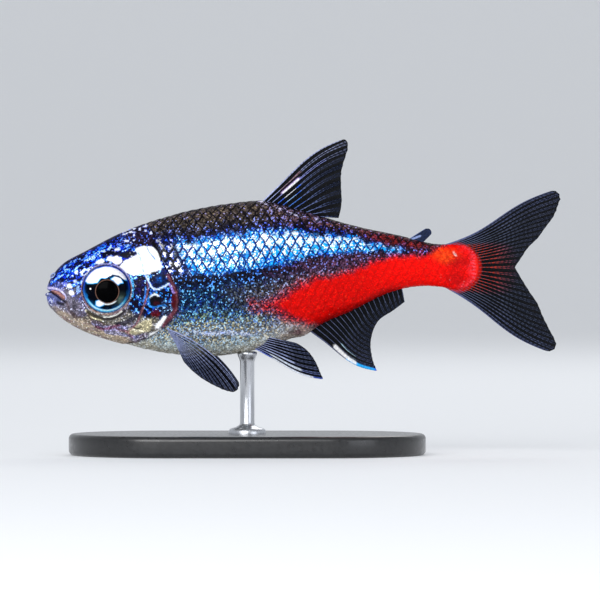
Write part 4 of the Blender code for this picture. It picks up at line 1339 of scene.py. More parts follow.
        cover = ramp(-12.35, -12.05, x) * ramp(1.5, 1.1, z)
        cover = cover * ramp(-2.3, -1.7, z + 0.25 * (x + 10.5) + 0.3 * (middle - 0.5))
        lay(cover, COVER_DARK)
        lay(cover * ramp(0.65, 0.68, dots) * 0.9, COVER_DOTS)
        lay(cover * ramp(-0.6, -1.4, z) * ramp(-10.2, -9.6, x), COVER_REAR)
        for mark in HEAD_MARKINGS:
            places = (mark.steady * points[..., k] + (1 - mark.steady) * drifted for k, drifted in ((0, x), (2, z)))
            share = mark.share(*places) * (1 - mark.broken * ramp(0.56, 0.46, fine))
            if mark.points in (JAW_CREASE, CHIN_CREASE):
                share = share * ramp(0.9, 1.6, np.abs(points[..., 1]))
            if mark.crystals:
                lay(share, Pigment("#0838c8", "#0c64f0", mark.grain, 0.5, mark.colour, mark.crystals))
            else:
                lay(share, Pigment(mark.colour, "", mark.grain, 0.0))

        lay(bell(from_eye - 1.75, 0.05), ORBIT_ROSE)
        lay(bell(from_eye - 1.76, 0.06) * ramp(0.0, 1.0, points[..., 2] - EYE_Z) * 0.8, ORBIT_LILAC)
        # painted shade: a dark line in the gill opening along the cover's edge
        lay(bell(line_distance(x, z, GILL_EDGE[1:]), 0.08) * 0.9, GILL_SLIT_SHADE)


# Pieces of the fish


class Flank(Enum):
    """Which flank a paired piece is on, by its sign along Y."""

    LEFT = -1
    RIGHT = 1


@dataclass
class Skin:
    """A length of the naked body as a closed skin, with the relief of mouth, eye sockets and gill covers."""

    form: BodyForm
    markings: Markings
    name: str
    ends: tuple[float, float]  # places along the fish, mm
    rings: int
    sides: int
    replaced: tuple[str, ...]
    coat_depth: float = 0.08  # the scales' thickness, by which the skin lies inside the solids

    def relief(self, points: Array) -> Array:
        """The relief: sockets and creases in, gill covers and rims out.

        Args:
            points: places on the naked body, in mm.

        Returns:
            How far the skin stands out from them, in mm.
        """
        x, z = points[..., 0], points[..., 2]
        from_eye = np.hypot(x - EYE_X, z - EYE_Z)
        off_middle = ramp(0.6, 1.4, np.abs(points[..., 1]))
        height = -0.8 * ramp(1.73, 1.55, from_eye) + 0.05 * bell(from_eye - 1.8, 0.08)
        behind = self.markings.behind_gills(x, z)
        shown = ramp(2.9, 2.2, z) * ramp(-3.9, -3.4, z)
        cover = np.where(behind < 0, ramp(-1.4, -0.1, behind) * 0.07, -0.16 * bell(behind - 0.02, 0.22))
        height += cover * shown
        for line, depth in ((CHEEK_LINE, 0.05), (JAW_CREASE, 0.05), (CHIN_CREASE, 0.04)):
            away = line_distance(x, z, line)
            height += -depth * bell(away, 0.06) + 0.4 * depth * bell(away - 0.13, 0.08)
        height += 0.03 * bell(line_distance(x, z, GILL_CELL), 0.05)
        trunk = ramp(-0.3, 0.3, behind) * ramp(12.2, 11.6, x)
        lips = line_distance(x, z, MOUTH_LINE)
        mouth = -0.22 * bell(lips, 0.09) - 0.05 * bell(line_distance(x, z, ((-17.3, -0.2), (-16.95, -0.32))), 0.1)
        return height * off_middle + mouth - self.coat_depth * trunk

    def build(self, finish: Material) -> None:
        """Lays a grid of polar angles and turns over the form, moves it along its normals, and closes it.

        Args:
            finish: the skin's material.
        """
        first, last = (float(self.form.angle(end)) for end in self.ends)
        angles = np.linspace(first, last, self.rings + 2)[1:-1]
        a, t = np.meshgrid(angles, full_turn(self.sides), indexing="ij")
        points = self.form.point(a, t)
        points = points + self.form.normal(a, t) * self.relief(points)[..., None]
        every = np.concatenate([points.reshape(-1, 3), points[[0, -1]].mean(axis=1)])
        colours = self.markings.paint(every).attributes()
        faces = fan_closed(self.rings, self.sides)
        new_piece(self.name, every, faces, finish, self.replaced, colours)


@dataclass
class ScaleCoat:
    """Overlapping scales in staggered rows, each rooted under the one before it and raised at its free edge."""

    form: BodyForm
    markings: Markings
    pitch: float = 0.70  # from scale to scale along a row
    row_pitch: float = 0.61
    overlap: float = 2.1  # a scale's length in pitches
    taper: float = 0.53  # how far its corners lie before its tip, in pitches
    first_root: float = -12.6  # the rows' ends along the fish, mm
    last_root: float = 11.2
    across: tuple[float, ...] = (-1.0, -0.75, -0.38, 0.0, 0.38, 0.75, 1.0)
    along: tuple[float, ...] = (0.0, 0.38, 0.6, 0.76, 0.89, 0.96, 1.0, 1.0)
    rise: float = 0.085
    patch: float = 0.012  # a scale's share of the map's width
    seed: int = 11

    def roots(self, flanks: FlankMap) -> Array:
        """Roots of the scales of one flank.

        Args:
            flanks: turns by distance along the skin.

        Returns:
            For each scale its x, its distance up the skin, its pitch along and its row pitch.
        """
        found = []
        x = self.first_root
        while x < self.last_root:
            shrink = float(np.interp(x, [-12.0, -1.0, 5.0, 9.0, 12.0], [0.92, 1.0, 0.86, 0.7, 0.6]))
            pitch, rows = self.pitch * shrink, self.row_pitch * shrink
            up, down = (float(v) for v in flanks.reach(np.array(x)))
            for row in range(-int(down / rows) - 1, int(up / rows) + 2):
                found.append((x + (pitch / 2 if row % 2 else 0.0), row * rows, pitch, rows))
            x += pitch
        return np.array(found)

    def build(self, finish: Material) -> None:
        """Leaves out the scales that would lie on the naked head, and bends a small grid for each of the
        others onto the flank: b runs from root to free edge and a across it.

        Args:
            finish: the scales' material.
        """
        flanks = FlankMap(self.form)
        roots = self.roots(flanks)
        tip = roots[:, 0] + roots[:, 2] * 1.6
        middle = self.form.point(self.form.angle(tip), flanks.turn(tip, roots[:, 1]))
        behind = self.markings.behind_gills(tip, middle[:, 2])
        scaled = (behind > 0.12) | ((middle[:, 2] > 3.25) & (tip > -11.4))
        roots = roots[scaled & (roots[:, 0] + roots[:, 2] * self.overlap < 12.0)]
        rng = np.random.default_rng(self.seed)
        sides = [self.scales(flanks, roots, flank.value, rng) for flank in (Flank.RIGHT, Flank.LEFT)]
        points, edge = (np.concatenate(parts) for parts in zip(*sides))
        rows, columns = len(self.along), len(self.across)
        faces = many_faces(grid_faces(rows, columns), 2 * len(roots), rows * columns)
        faces[len(faces) // 2 :] = faces[len(faces) // 2 :, ::-1]
        attributes = self.markings.paint(points).attributes()
        attributes["rim"] = self.rims(points, attributes, edge)
        piece = new_piece(
            "scale_coat", points, faces.tolist(), finish, (), attributes, check_closed=False
        )
        self.unwrap(piece, roots)

    def rims(self, points: Array, attributes: dict[str, Array], edge: Array) -> Array:
        """The seams between scales.

        Args:
            points: places of the scales, in mm.
            attributes: their colours.
            edge: their distance from the free edge, in mm.

        Returns:
            How strong, how blue and how red the seams are, with the distance from the free edge.
        """
        x, z = points[..., 0], points[..., 2]
        tint = attributes["tint"]
        bright = self.markings.stripe(x, z, 0.0)
        red = ramp(0.25, 0.5, tint[..., 0] - tint[..., 2] - tint[..., 1])
        above = z - self.markings.stripe_top(x)
        strength = 0.52 + 0.4 * ramp(-0.2, 0.6, above)
        strength = strength * (1 - bright) + 0.97 * bright
        low = ramp(-1.6, -3.2, z) * (1 - bright)
        strength = (strength * (1 - red) + 0.25 * red) * (1 - 0.85 * low)
        dark = self.markings.shoulder(x, z)
        blue = bright * (1 - dark)
        return with_value(np.stack([strength, blue, red], -1), edge / (1 + 1.2 * dark + 0.4 * ramp(0.0, 0.6, above)))

    def scales(self, flanks: FlankMap, roots: Array, side: int, rng: np.random.Generator) -> tuple[Array, Array]:
        """Points of all scales of one flank.

        Args:
            flanks: turns by distance along the skin.
            roots: from roots().
            side: 1 for the right flank, -1 for the left.
            rng: source of the small differences between scales.

        Returns:
            The points, and the distance of each from its scale's free edge.
        """
        a = np.asarray(self.across)[None, None, :]
        b = np.asarray(self.along)[None, :, None]
        last = (np.arange(len(self.along)) == len(self.along) - 1)[None, :, None]
        x0, arc0, pitch, rows = (roots[:, i, None, None] for i in range(4))
        jitter = rng.normal(0.0, 0.022, (2, len(roots), 1, 1))
        corner = (np.sqrt(a**2 + 0.05) - math.sqrt(0.05)) / (math.sqrt(1.05) - math.sqrt(0.05))
        free = pitch * (self.overlap - self.taper * corner)
        x = x0 + b * free + jitter[0]
        arc = arc0 + a * rows * 1.02 + jitter[1]
        turn = flanks.turn(x, arc)
        angle = self.form.angle(x)
        points = self.form.point(angle, turn * side)
        normal = self.form.normal(angle, turn * side)
        tilt = rng.uniform(0.85, 1.1, (len(roots), 1, 1))
        height = -0.10 + self.rise * b * tilt - 0.012 * a**2
        height = np.where(last | (np.abs(a) > 0.99), -0.115, height)
        points = points + normal * height[..., None]
        edge = 0.8 * free * (1 - b) + 0 * a + rng.normal(0.0, 0.012, x.shape)
        count = len(roots) * len(self.along) * len(self.across)
        return points.reshape(count, 3), edge.reshape(count)

    def unwrap(self, piece: bpy.types.Object, roots: Array) -> None:
        """Gives each scale its own patch at its root's place on an unwrap of the flank, right and left in
        two halves of the map, without overlap.

        Args:
            piece: the coat.
            roots: from roots(), the scales of one flank.
        """
        u0 = (roots[:, 0] - roots[:, 0].min()) / np.ptp(roots[:, 0]) * 0.96 + 0.01
        v0 = (roots[:, 1] - roots[:, 1].min()) / np.ptp(roots[:, 1]) * 0.46 + 0.01
        b, a = np.meshgrid(np.linspace(0, 1, len(self.along)), np.linspace(0, 1, len(self.across)), indexing="ij")
        cell = np.stack([b.ravel(), a.ravel()], axis=-1) * self.patch
        halves = [np.stack([u0, v0 + 0.5 * half], axis=-1)[:, None] + cell[None] for half in (0, 1)]
        uv = np.concatenate(halves).reshape(-1, 2)
        corner = np.empty(len(piece.data.loops), int)
        piece.data.loops.foreach_get("vertex_index", corner)
        layer = piece.data.uv_layers.new(name="OFBake")
        layer.data.foreach_set("uv", uv[corner].astype(np.float32).ravel())


@dataclass
class Eye:
    """One eye: a shallow dome with the pupil's lens bulging from it, closed by a flat back."""

    flank: Flank
    rings: int = 120
    sides: int = 220
    out: float = 1.45
    dome: float = 0.6
    pupil: float = 0.458  # its radius, as a share of the eye's, like the places below
    pupil_place: tuple[float, float] = (0.03, -0.09)
    # crescent, flash and glow outline the painted highlights on the iris; wiggle is the dark line through the flash
    crescent: Points = (
        (-0.80, 0.27), (-0.55, 0.27), (-0.38, 0.29), (-0.30, 0.42), (-0.22, 0.48), (0.11, 0.50), (0.24, 0.625),
        (0.50, 0.58), (0.70, 0.42), (0.82, 0.40), (0.80, 0.52), (0.66, 0.67), (0.45, 0.83), (0.20, 0.925),
        (-0.10, 0.94), (-0.38, 0.865), (-0.62, 0.71), (-0.79, 0.52), (-0.88, 0.34),
    )
    flash: Points = ((0.20, 0.43), (0.36, 0.55), (0.58, 0.45), (0.66, 0.28), (0.49, 0.21), (0.36, 0.32))
    glow: Points = ((-0.42, -0.50), (-0.26, -0.46), (-0.14, -0.54), (-0.14, -0.65), (-0.30, -0.71), (-0.42, -0.65))
    wiggle: Points = ((0.08, 0.47), (0.24, 0.59), (0.50, 0.54), (0.72, 0.38))

    def iris(self, right: Array, up: Array, drift: Array) -> Array:
        """The eye's colours.

        Args:
            right: distance from its middle towards the tail, as a share of its radius.
            up: the same towards the back.
            drift: small shifts that fray the edges.

        Returns:
            Colours with how metallic they are.
        """
        u, v = right + drift[0], up + drift[1]
        r = np.hypot(right, up)
        from_pupil = np.hypot(right - self.pupil_place[0], up - self.pupil_place[1])
        lower = ramp(0.05, -0.45, up)
        mottled = ramp(0.42, 0.62, 0.5 + 6.0 * drift[0])
        bright = np.max([inside_distance(u, v, shape) for shape in (self.crescent, self.flash, self.glow)], axis=0)
        wiggle = line_distance(u, v, self.wiggle)
        colour = np.zeros(r.shape + (3,)) + linear("#03050f")
        for tone, share in (
            # blue rim and the dark iris with its brown and green cloud
            ("#08234f", ramp(0.8, 0.93, r)),
            ("#1a62c8", ramp(0.89, 0.95, r) * ramp(0.6, -0.2, up)),
            ("#2f3f3c", spot(u, v, (0.62, -0.48), (0.26, 0.3), 0.6) * 0.7),
            ("#6f8a7c", spot(u, v, (0.60, -0.46), (0.12, 0.16), 0.6) * 0.4),
            # lower rim, from blue over cyan to white
            ("#083c68", ramp(0.68, 0.8, r) * lower * mottled * 0.6),
            ("#1478cc", ramp(0.81, 0.87, r + 1.6 * drift[1]) * lower),
            ("#5fdcff", ramp(0.83, 0.89, r) * ramp(-0.3, -0.6, up) * ramp(0.95, 0.91, r)),
            ("#e8fcff", bell(np.hypot(u, v) - 0.885, 0.025) * ramp(-0.45, -0.75, up) * 0.8),
            # painted highlights: bright patches with their blue halo, and the dark line through the upper one
            ("#18a8f4", ramp(-0.06, -0.02, bright)),
            ("#ffffff", ramp(-0.03, 0.015, bright)),
            ("#06204c", ramp(0.045, 0.02, wiggle)),
            ("#f4fcff", bell(from_pupil - 0.535, 0.025) * ramp(-0.45, -0.53, up)),
            # painted highlight: a small white dot
            ("#ffffff", spot(right, up, (-0.67, 0.02), (0.035, 0.035), 0.3)),
            # pupil in its brown ring, and the orbit's edge
            ("#7d5a4c", bell(from_pupil - 0.483, 0.016)),
            ("#010102", ramp(0.475, 0.46, from_pupil)),
            ("#2a3ad8", bell(r - 0.955, 0.018) * ramp(-0.2, 0.3, up)),
            ("#7fa0c8", bell(r - 0.955, 0.018) * ramp(0.0, -0.5, up) * 0.6),
            ("#241a20", ramp(0.97, 0.99, r)),
        ):
            colour = blend(colour, tone, share)
        return with_value(colour, 0.2 * ramp(0.5, 0.56, from_pupil))

    def build(self, finish: Material, noise: LatticeNoise) -> None:
        """The dome's height is d sqrt(1 - r^2), and the lens adds 0.1 sqrt(1 - (r / p)^2) round the pupil.

        Args:
            finish: the eye's material.
            noise: what frays the iris.
        """
        rr, tt = np.meshgrid(np.linspace(0.0, 1.0, self.rings + 1)[1:], full_turn(self.sides), indexing="ij")
        right, up = rr * np.cos(tt), rr * np.sin(tt)
        from_pupil = np.hypot(right - self.pupil_place[0], up - self.pupil_place[1])
        lens = 0.10 * np.sqrt(np.maximum(1 - (from_pupil / self.pupil) ** 2, 0.0))
        lens = lens - 0.015 * bell(from_pupil - self.pupil - 0.02, 0.02)
        sign = self.flank.value
        y = sign * (self.out + self.dome * np.sqrt(np.maximum(1 - rr**2, 0.0)) + lens)
        points = np.stack([EYE_X + EYE_RADIUS * right, y, EYE_Z + EYE_RADIUS * up], axis=-1)
        middles = [[EYE_X, sign * (self.out + reach), EYE_Z] for reach in (self.dome + 0.098, -0.3)]
        every = np.concatenate([points.reshape(-1, 3), middles])
        faces = fan_closed(self.rings, self.sides)
        drift = [0.05 * (noise(points + k, 0.22) - 0.5) for k in (0.0, 5.0)]
        tint = self.iris(right, up, drift).reshape(-1, 4)
        ends = np.array([[*linear("#010102"), 0.0], [*linear("#241a20"), 0.0]])
        name = f"eye_{self.flank.name.lower()}"
        new_piece(f"{name}_ball", every, faces, finish, (name,), {"tint": np.concatenate([tint, ends])})


@dataclass
class Tube:
    """A tube along a path, of round or flattened section."""

    sides: int = 8

    def sweep(self, path: Array, radius: Array, flatten: float = 1.0) -> tuple[Array, list[list[int]]]:
        """Carries circles along many paths at once.

        Args:
            path: points of shape (tubes, along, 3).
            radius: of shape (tubes, along).
            flatten: how thin the section is along Y, as a share.

        Returns:
            The points and faces, each tube closed by a flat face over its first ring and another over its last.
        """
        tubes, along = radius.shape
        tangent = np.gradient(path, axis=1)
        tangent /= np.maximum(np.linalg.norm(tangent, axis=-1, keepdims=True), 1e-9)
        level = np.broadcast_to(np.array([0.0, 1.0, 0.0]), path.shape)
        level = level - tangent * (tangent * level).sum(-1, keepdims=True)
        level = level / np.maximum(np.linalg.norm(level, axis=-1, keepdims=True), 1e-9)
        across = np.cross(tangent, level)
        turn = full_turn(self.sides)
        circle = across[:, :, None] * np.cos(turn)[None, None, :, None]
        circle = circle + level[:, :, None] * np.sin(turn)[None, None, :, None] * flatten
        points = path[:, :, None] + circle * radius[:, :, None, None]
        size = along * self.sides
        faces = many_faces(grid_faces(along, self.sides, wrap=True), tubes, size).tolist()
        start = (np.arange(tubes) * size)[:, None] + np.arange(self.sides)[None]
        faces += start[:, ::-1].tolist() + (start + size - self.sides).tolist()
        return points, faces


@dataclass
class Mouth:
    """Both lips, and the raised rims of the nostrils."""

    form: BodyForm

    def lip(self, line: Points, name: str, radius: float, colours: tuple[str, str], finish: Material) -> None:
        """Sweeps a lip from one corner of the mouth round the snout to the other, thinning at both ends.

        Args:
            line: its course on one flank, from the snout back.
            name: the piece's name.
            radius: its half thickness.
            colours: at the snout, and at the corners of the mouth.
            finish: its material.
        """
        side = chord_curve(line)(np.linspace(1.0, 0.0, 70))
        y = self.form.flank(side[:, 0], side[:, 1])
        left = np.stack([side[:, 0], -y, side[:, 1]], axis=-1)
        nose = self.form.snout + (0.16 if line[0][0] > self.form.snout + 0.1 else 0.03)
        front = np.array([[nose, 0.0, line[0][1]]])
        path = np.concatenate([left, front, left[::-1] * np.array([1.0, -1.0, 1.0])])
        steps = np.concatenate([[0.0], np.cumsum(np.linalg.norm(np.diff(path, axis=0), axis=1))])
        even = np.linspace(0.0, steps[-1], 160)
        path = np.stack([np.interp(even, steps, path[:, i]) for i in range(3)], axis=-1)
        for _ in range(8):
            path[1:-1] = (path[:-2] + 2 * path[1:-1] + path[2:]) / 4
        share = np.abs(np.linspace(-1.0, 1.0, len(path)))
        thick = radius * np.sqrt(np.maximum(1 - share**4, 0.0)) + 0.004
        points, faces = Tube(12).sweep(path[None], thick[None])
        layers = Layers.plain(share.shape)
        layers.lay(1.0, Pigment(colours[0], "", 0.3, 0.0, "#eef0ff", 0.06))
        layers.lay(ramp(0.3, 0.9, share), Pigment(colours[1], "", 0.3, 0.0, "#eef0ff", 0.03))
        attributes = {name: np.repeat(values, 12, axis=0) for name, values in layers.attributes().items()}
        new_piece(name, points, faces, finish, (), attributes)

    def nostril(self, flank: Flank, finish: Material) -> None:
        """Makes the small raised loop round a nostril.

        Args:
            flank: the side that it is on.
            finish: its material.
        """
        turn = np.linspace(0.0, 2 * math.pi, 33)
        centre = np.array([-17.5, 0.36 * flank.value, float(self.form.top(self.form.angle(-17.5))) - 0.04])
        lean = np.array([-0.55, 0.55 * flank.value, 0.5])
        lean /= np.linalg.norm(lean)
        first = np.cross(lean, [0.0, 1.0, 0.0])
        first /= np.linalg.norm(first)
        second = np.cross(lean, first)
        loop = centre + 0.19 * np.cos(turn)[:, None] * first + 0.16 * np.sin(turn)[:, None] * second
        points, faces = Tube(8).sweep(loop[None], np.full((1, 33), 0.045))
        layers = Layers.plain((33 * 8,))
        layers.lay(1.0, NOSTRIL_BLUE)
        new_piece(f"nostril_{flank.name.lower()}", points, faces, finish, (), layers.attributes())

    def build(self, finish: Material) -> None:
        """Makes the lips and the nostrils.

        Args:
            finish: their material.
        """
        self.lip(UPPER_LIP, "upper_lip", 0.085, ("#bcb6e4", "#c6c0ea"), finish)
        self.lip(LOWER_LIP, "lower_lip", 0.10, ("#6c74a6", "#4e5684"), finish)
        for flank in Flank:
            self.nostril(flank, finish)


@dataclass
class Fin:
    """A fin as a thin membrane with branched, jointed rays, all on one sheet between root and outer edge."""

    name: str
    root: SmoothCurve
    edge: SmoothCurve
    rays: int
    ray_colours: tuple[str, str, str]  # root, tip and leading ray
    bow: float = 0.0
    sway: float = 0.0
    lag: float = 1.5  # the power by which the rays straighten towards the last one
    gather: float = 1.0  # the power by which they crowd towards the leading one
    outward: Callable[[Array, Array], Array] | None = None  # sets it off the middle plane, by s and place
    tissue: str = "#05070c"
    painted_highlights: tuple[Marking, ...] = ()
    red_reach: float = 0.0  # how far the red of the tail runs into the fin, mm
    ray_radius: float = 0.036
    ray_sides: int = 6
    thickness: float = 0.05
    jointed: float = 0.35  # how dark the rays' joints are
    joint_step: float = 0.3  # from joint to joint, mm
    branch_at: tuple[float, float] = (0.34, 0.66)
    spreads: tuple[float, float, float] = (0.14, 0.05, 0.06)  # of twins, their tips and branches, in ray steps
    opacity: float = 0.95  # of either side
    clear_root: float = 0.0  # how much clearer the membrane is near the body
    fold: float = 0.04
    replaced: tuple[str, ...] = ()

    def sheet(self, s: Array, t: Array) -> Array:
        """Places on the fin's middle sheet.

        Args:
            s: 0 at the leading ray to 1 at the last.
            t: 0 at the root to 1 at the outer edge.

        Returns:
            root + (edge - root) t + across (1 - s)^lag (4 bow t (1 - t) + sway sin 2 pi t), with a soft fold,
            where root and edge are those of s^gather.
        """
        start, end = self.root(s**self.gather), self.edge(s**self.gather)
        run = end - start
        length = np.linalg.norm(run, axis=-1)
        across = np.stack([-run[..., 1], run[..., 0]], axis=-1) / length[..., None]
        bend = (1 - s) ** self.lag * (self.bow * 4 * t * (1 - t) + self.sway * np.sin(2 * math.pi * t))
        flat = start + run * t[..., None] + across * bend[..., None]
        y = self.outward(s, flat) if self.outward else 0 * t
        y = y + self.fold * t * np.sin(s * (self.rays - 1) * math.pi) * ramp(0.0, 0.4, t)
        return np.stack([flat[..., 0], y, flat[..., 1]], axis=-1)

    def membrane(self, finish: Material, noise: LatticeNoise) -> None:
        """Makes two grids back to back, thinning outwards, sewn along their border.

        Args:
            finish: the membrane's material.
            noise: what frays the outer edge.
        """
        columns, rows = 12 * (self.rays - 1) + 1, 60
        s, t = np.meshgrid(np.linspace(0, 1, columns), np.linspace(0, 1, rows), indexing="ij")
        notch = 0.005 * np.abs(np.sin(s * (self.rays - 1) * math.pi)) ** 0.7
        notch += 0.004 * noise(np.stack([s * 30, 0 * s, 0 * s], -1), 1.0)
        sheet = self.sheet(s, t * (1 - notch))
        along, around = np.gradient(sheet, axis=0), np.gradient(sheet, axis=1)
        normal = np.cross(along, around)
        normal /= np.maximum(np.linalg.norm(normal, axis=-1, keepdims=True), 1e-9)
        half = self.thickness / 2 * (1 - 0.6 * t)[..., None]
        points = np.stack([sheet + normal * half, sheet - normal * half])
        front = grid_faces(columns, rows)
        back = front[:, ::-1] + columns * rows
        index = np.arange(columns * rows).reshape(columns, rows)
        border = np.concatenate([index[:, 0], index[-1, 1:], index[-2::-1, -1], index[0, -2:0:-1]])
        after = np.roll(border, -1)
        rim = np.stack([after, border, border + columns * rows, after + columns * rows], -1)
        near = np.abs((s * (self.rays - 1) + 0.5) % 1.0 - 0.5)
        ground = np.zeros(s.shape + (3,)) + linear(self.tissue)
        colour = blend(ground, self.ray_colours[1], ramp(0.2, 0.0, near) * 0.2)
        colour = blend(colour, "#c40c08", ramp(0.45, 0.2, self.flesh_distance(sheet)))
        # painted highlights on the membrane, from the wider streaks
        for mark in self.painted_highlights:
            colour = blend(colour, mark.colour, 0.9 * ramp(0.0185, 0.0195, mark.width) * mark.share(s, t))
        clear = self.clear_root * ramp(0.62, 0.3, t)
        tint = with_value(colour, self.opacity * (1 - 0.07 * t) * (1 - clear))
        new_piece(
            f"{self.name}_membrane", points, np.concatenate([front, back, rim]).tolist(), finish,
            self.replaced, {"tint": np.stack([tint, tint])},
        )

    def flesh_distance(self, points: Array) -> Array:
        """How far places are beyond the round end of the tail's flesh.

        Args:
            points: places on the fin, in mm.

        Returns:
            Millimetres, or far away for a fin that takes no red from the tail.
        """
        if not self.red_reach:
            return np.full(points.shape[:-1], 9.0)
        return np.hypot(points[..., 0] - FLESH_X, (points[..., 2] - FLESH_Z) * 1.15) - FLESH_REACH

    def ray_paths(self) -> tuple[Array, Array]:
        """Where the rays and their branches run.

        Returns:
            For each tube its places s and t on the sheet: stems, then twins from the first fork on, then
            four from the second.
        """
        along = np.linspace(0.0, 1.0, 56)
        step = 1 / (self.rays - 1)
        first, second = self.branch_at
        apart, tips, branches = self.spreads
        paths = [(0 * along, along)]
        for ray in range(1, self.rays):
            middle = ray * step
            paths.append((0 * along + middle, along * (first + 0.02)))
            for twin in (-1, 1):
                t = first + (second + 0.02 - first) * along
                paths.append((middle + twin * step * apart * ramp(first, first + 0.25, t), t))
                for branch in (-1, 1):
                    t = second + (1 - second) * along
                    out = twin * (apart + tips * ramp(second, 1.0, t))
                    out = out + branch * branches * ramp(second, second + 0.34, t)
                    paths.append((middle + out * step, t))
        return tuple(np.clip(np.stack(values), 0.0, 1.0) for values in zip(*paths))

    def build(self, membrane: Material, ray: Material, noise: LatticeNoise) -> None:
        """Makes the membrane, then the rays, which thin from root to tip and swell between their joints.

        Args:
            membrane: the membrane's material.
            ray: the rays' material.
            noise: what frays the outer edge.
        """
        self.membrane(membrane, noise)
        s, t = self.ray_paths()
        path = self.sheet(s, t * 0.985)
        length = np.linalg.norm(self.edge(s[:, 0]) - self.root(s[:, 0]), axis=-1)[:, None]
        joints = 0.5 + 0.5 * np.cos(2 * math.pi * t * length / self.joint_step + 40.0 * s[:, :1])
        leading = s < 1e-6
        radius = self.ray_radius * (1 - 0.62 * t) * (1 + 0.2 * joints * ramp(0.25, 0.5, t))
        points, faces = Tube(self.ray_sides).sweep(path, radius * (1 + 0.5 * leading), 1.3)
        base, tip, lead = self.ray_colours
        colour = blend(np.zeros(t.shape + (3,)) + linear(base), tip, ramp(0.15, 0.9, t))
        colour = blend(colour, lead, np.where(leading, 1.0, 0.5 * ramp(0.35, 0.05, s)))
        colour = blend(colour, "#141828", ramp(0.7, 0.1, joints) * ramp(0.15, 0.4, t) * self.jointed)
        # painted highlights on the rays
        for mark in self.painted_highlights:
            colour = blend(colour, mark.colour, mark.share(s, t))
        reach = 0.15 + self.red_reach * ramp(0.15, 0.75, s)
        red = ramp(reach, 0.3 * reach, self.flesh_distance(path))
        colour = blend(colour, "#cc380c", red * (0.3 + 0.7 * joints))
        tint = np.repeat(with_value(colour, 0.97 - 0.2 * t)[:, :, None], self.ray_sides, axis=2)
        new_piece(f"{self.name}_rays", points, faces, ray, (), {"tint": tint})


@dataclass(frozen=True)
class PairedFin:
    """A fin that each flank has, which spreads outwards from a foot on the body."""

    part: str
    foot: Points  # its foot's first and last place: along the fish in mm, and turn round the body in degrees
    edge: Points
    rays: int
    bow: float
    sway: float
    spread: float  # degrees away from the body
    clear_root: float
    lead: str  # the leading ray's colour
    painted_highlights: tuple[Marking, ...] = ()

    def fin(self, form: BodyForm, flank: Flank) -> Fin:
        """The fin of one flank.

        Args:
            form: the body's form.
            flank: the side that it is on.

        Returns:
            The fin, rooted 0.1 mm inside the skin.
        """
        xs, degrees = np.linspace(*self.foot, 12).T
        angle, turn = form.angle(xs), np.radians(degrees)
        foot = form.point(angle, turn) - form.normal(angle, turn) * 0.1
        steps = np.linspace(0, 1, 12)
        feet = SmoothCurve(steps, foot)

        def outward(s: Array, flat: Array) -> Array:
            """Distance from the middle plane: the foot's, and tan(spread) times the reach beyond it.

            Args:
                s: 0 at the leading ray to 1 at the last.
                flat: places in the side view.

            Returns:
                Millimetres, with the flank's sign.
            """
            start = feet(s)
            reach = np.hypot(flat[..., 0] - start[..., 0], flat[..., 1] - start[..., 2])
            return flank.value * (start[..., 1] + np.tan(np.radians(self.spread) * (1 - 0.35 * s)) * reach)

        word = flank.name.lower()
        return Fin(
            f"{self.part}_{word}", SmoothCurve(steps, foot[:, [0, 2]]), chord_curve(self.edge), self.rays,
            ("#98a2cc", "#4e5878", self.lead), self.bow, self.sway, outward=outward, painted_highlights=self.painted_highlights,
            clear_root=self.clear_root, ray_radius=0.034, replaced=(f"{self.part}_fin_{word}",),
        )


PAIRED_FINS = (
    PairedFin(
        "pectoral", ((-9.5, 128.0), (-8.9, 146.0)), PECTORAL_EDGE, 13, bow=0.55, sway=0.0, spread=22.0,
        clear_root=0.85, lead="#a3aedb",
    ),
    PairedFin(
        "pelvic", ((-3.35, 171.0), (-2.4, 150.0)), PELVIC_EDGE, 9, bow=-0.28, sway=0.1, spread=12.0,
        clear_root=0.2, lead="#8f9fe8", painted_highlights=PELVIC_HIGHLIGHTS,
    ),
)


def profile_root(form: BodyForm, profile: SmoothCurve, start: float, end: float, lift: float) -> SmoothCurve:
    """The root of a fin on the back or belly, from x = start to end, at a height of lift above it, in mm."""
    xs = np.linspace(start, end, 24)
    return SmoothCurve(np.linspace(0, 1, 24), np.stack([xs, profile(form.angle(xs)) + lift], -1))


def flesh_root(form: BodyForm, profile: SmoothCurve, sign: float) -> SmoothCurve:
    """The root of a lobe of the tail fin, a little inside the round end of the flesh.

    Args:
        form: the body's form.
        profile: its back or belly.
        sign: 1 for the upper lobe and -1 for the lower.

    Returns:
        A curve of 0 to 1 in the side view.
    """
    angles = np.linspace(float(form.angle(10.0)), math.pi, 40)
    place = np.stack([form.x(angles), profile(angles)], -1)
    ahead = np.gradient(place, axis=0)
    ahead /= np.linalg.norm(ahead, axis=1)[:, None]
    inward = np.stack([ahead[:, 1], -ahead[:, 0]], -1) * sign
    return SmoothCurve(np.linspace(0, 1, 40), place + inward * np.linspace(0.06, 0.5, 40)[:, None])


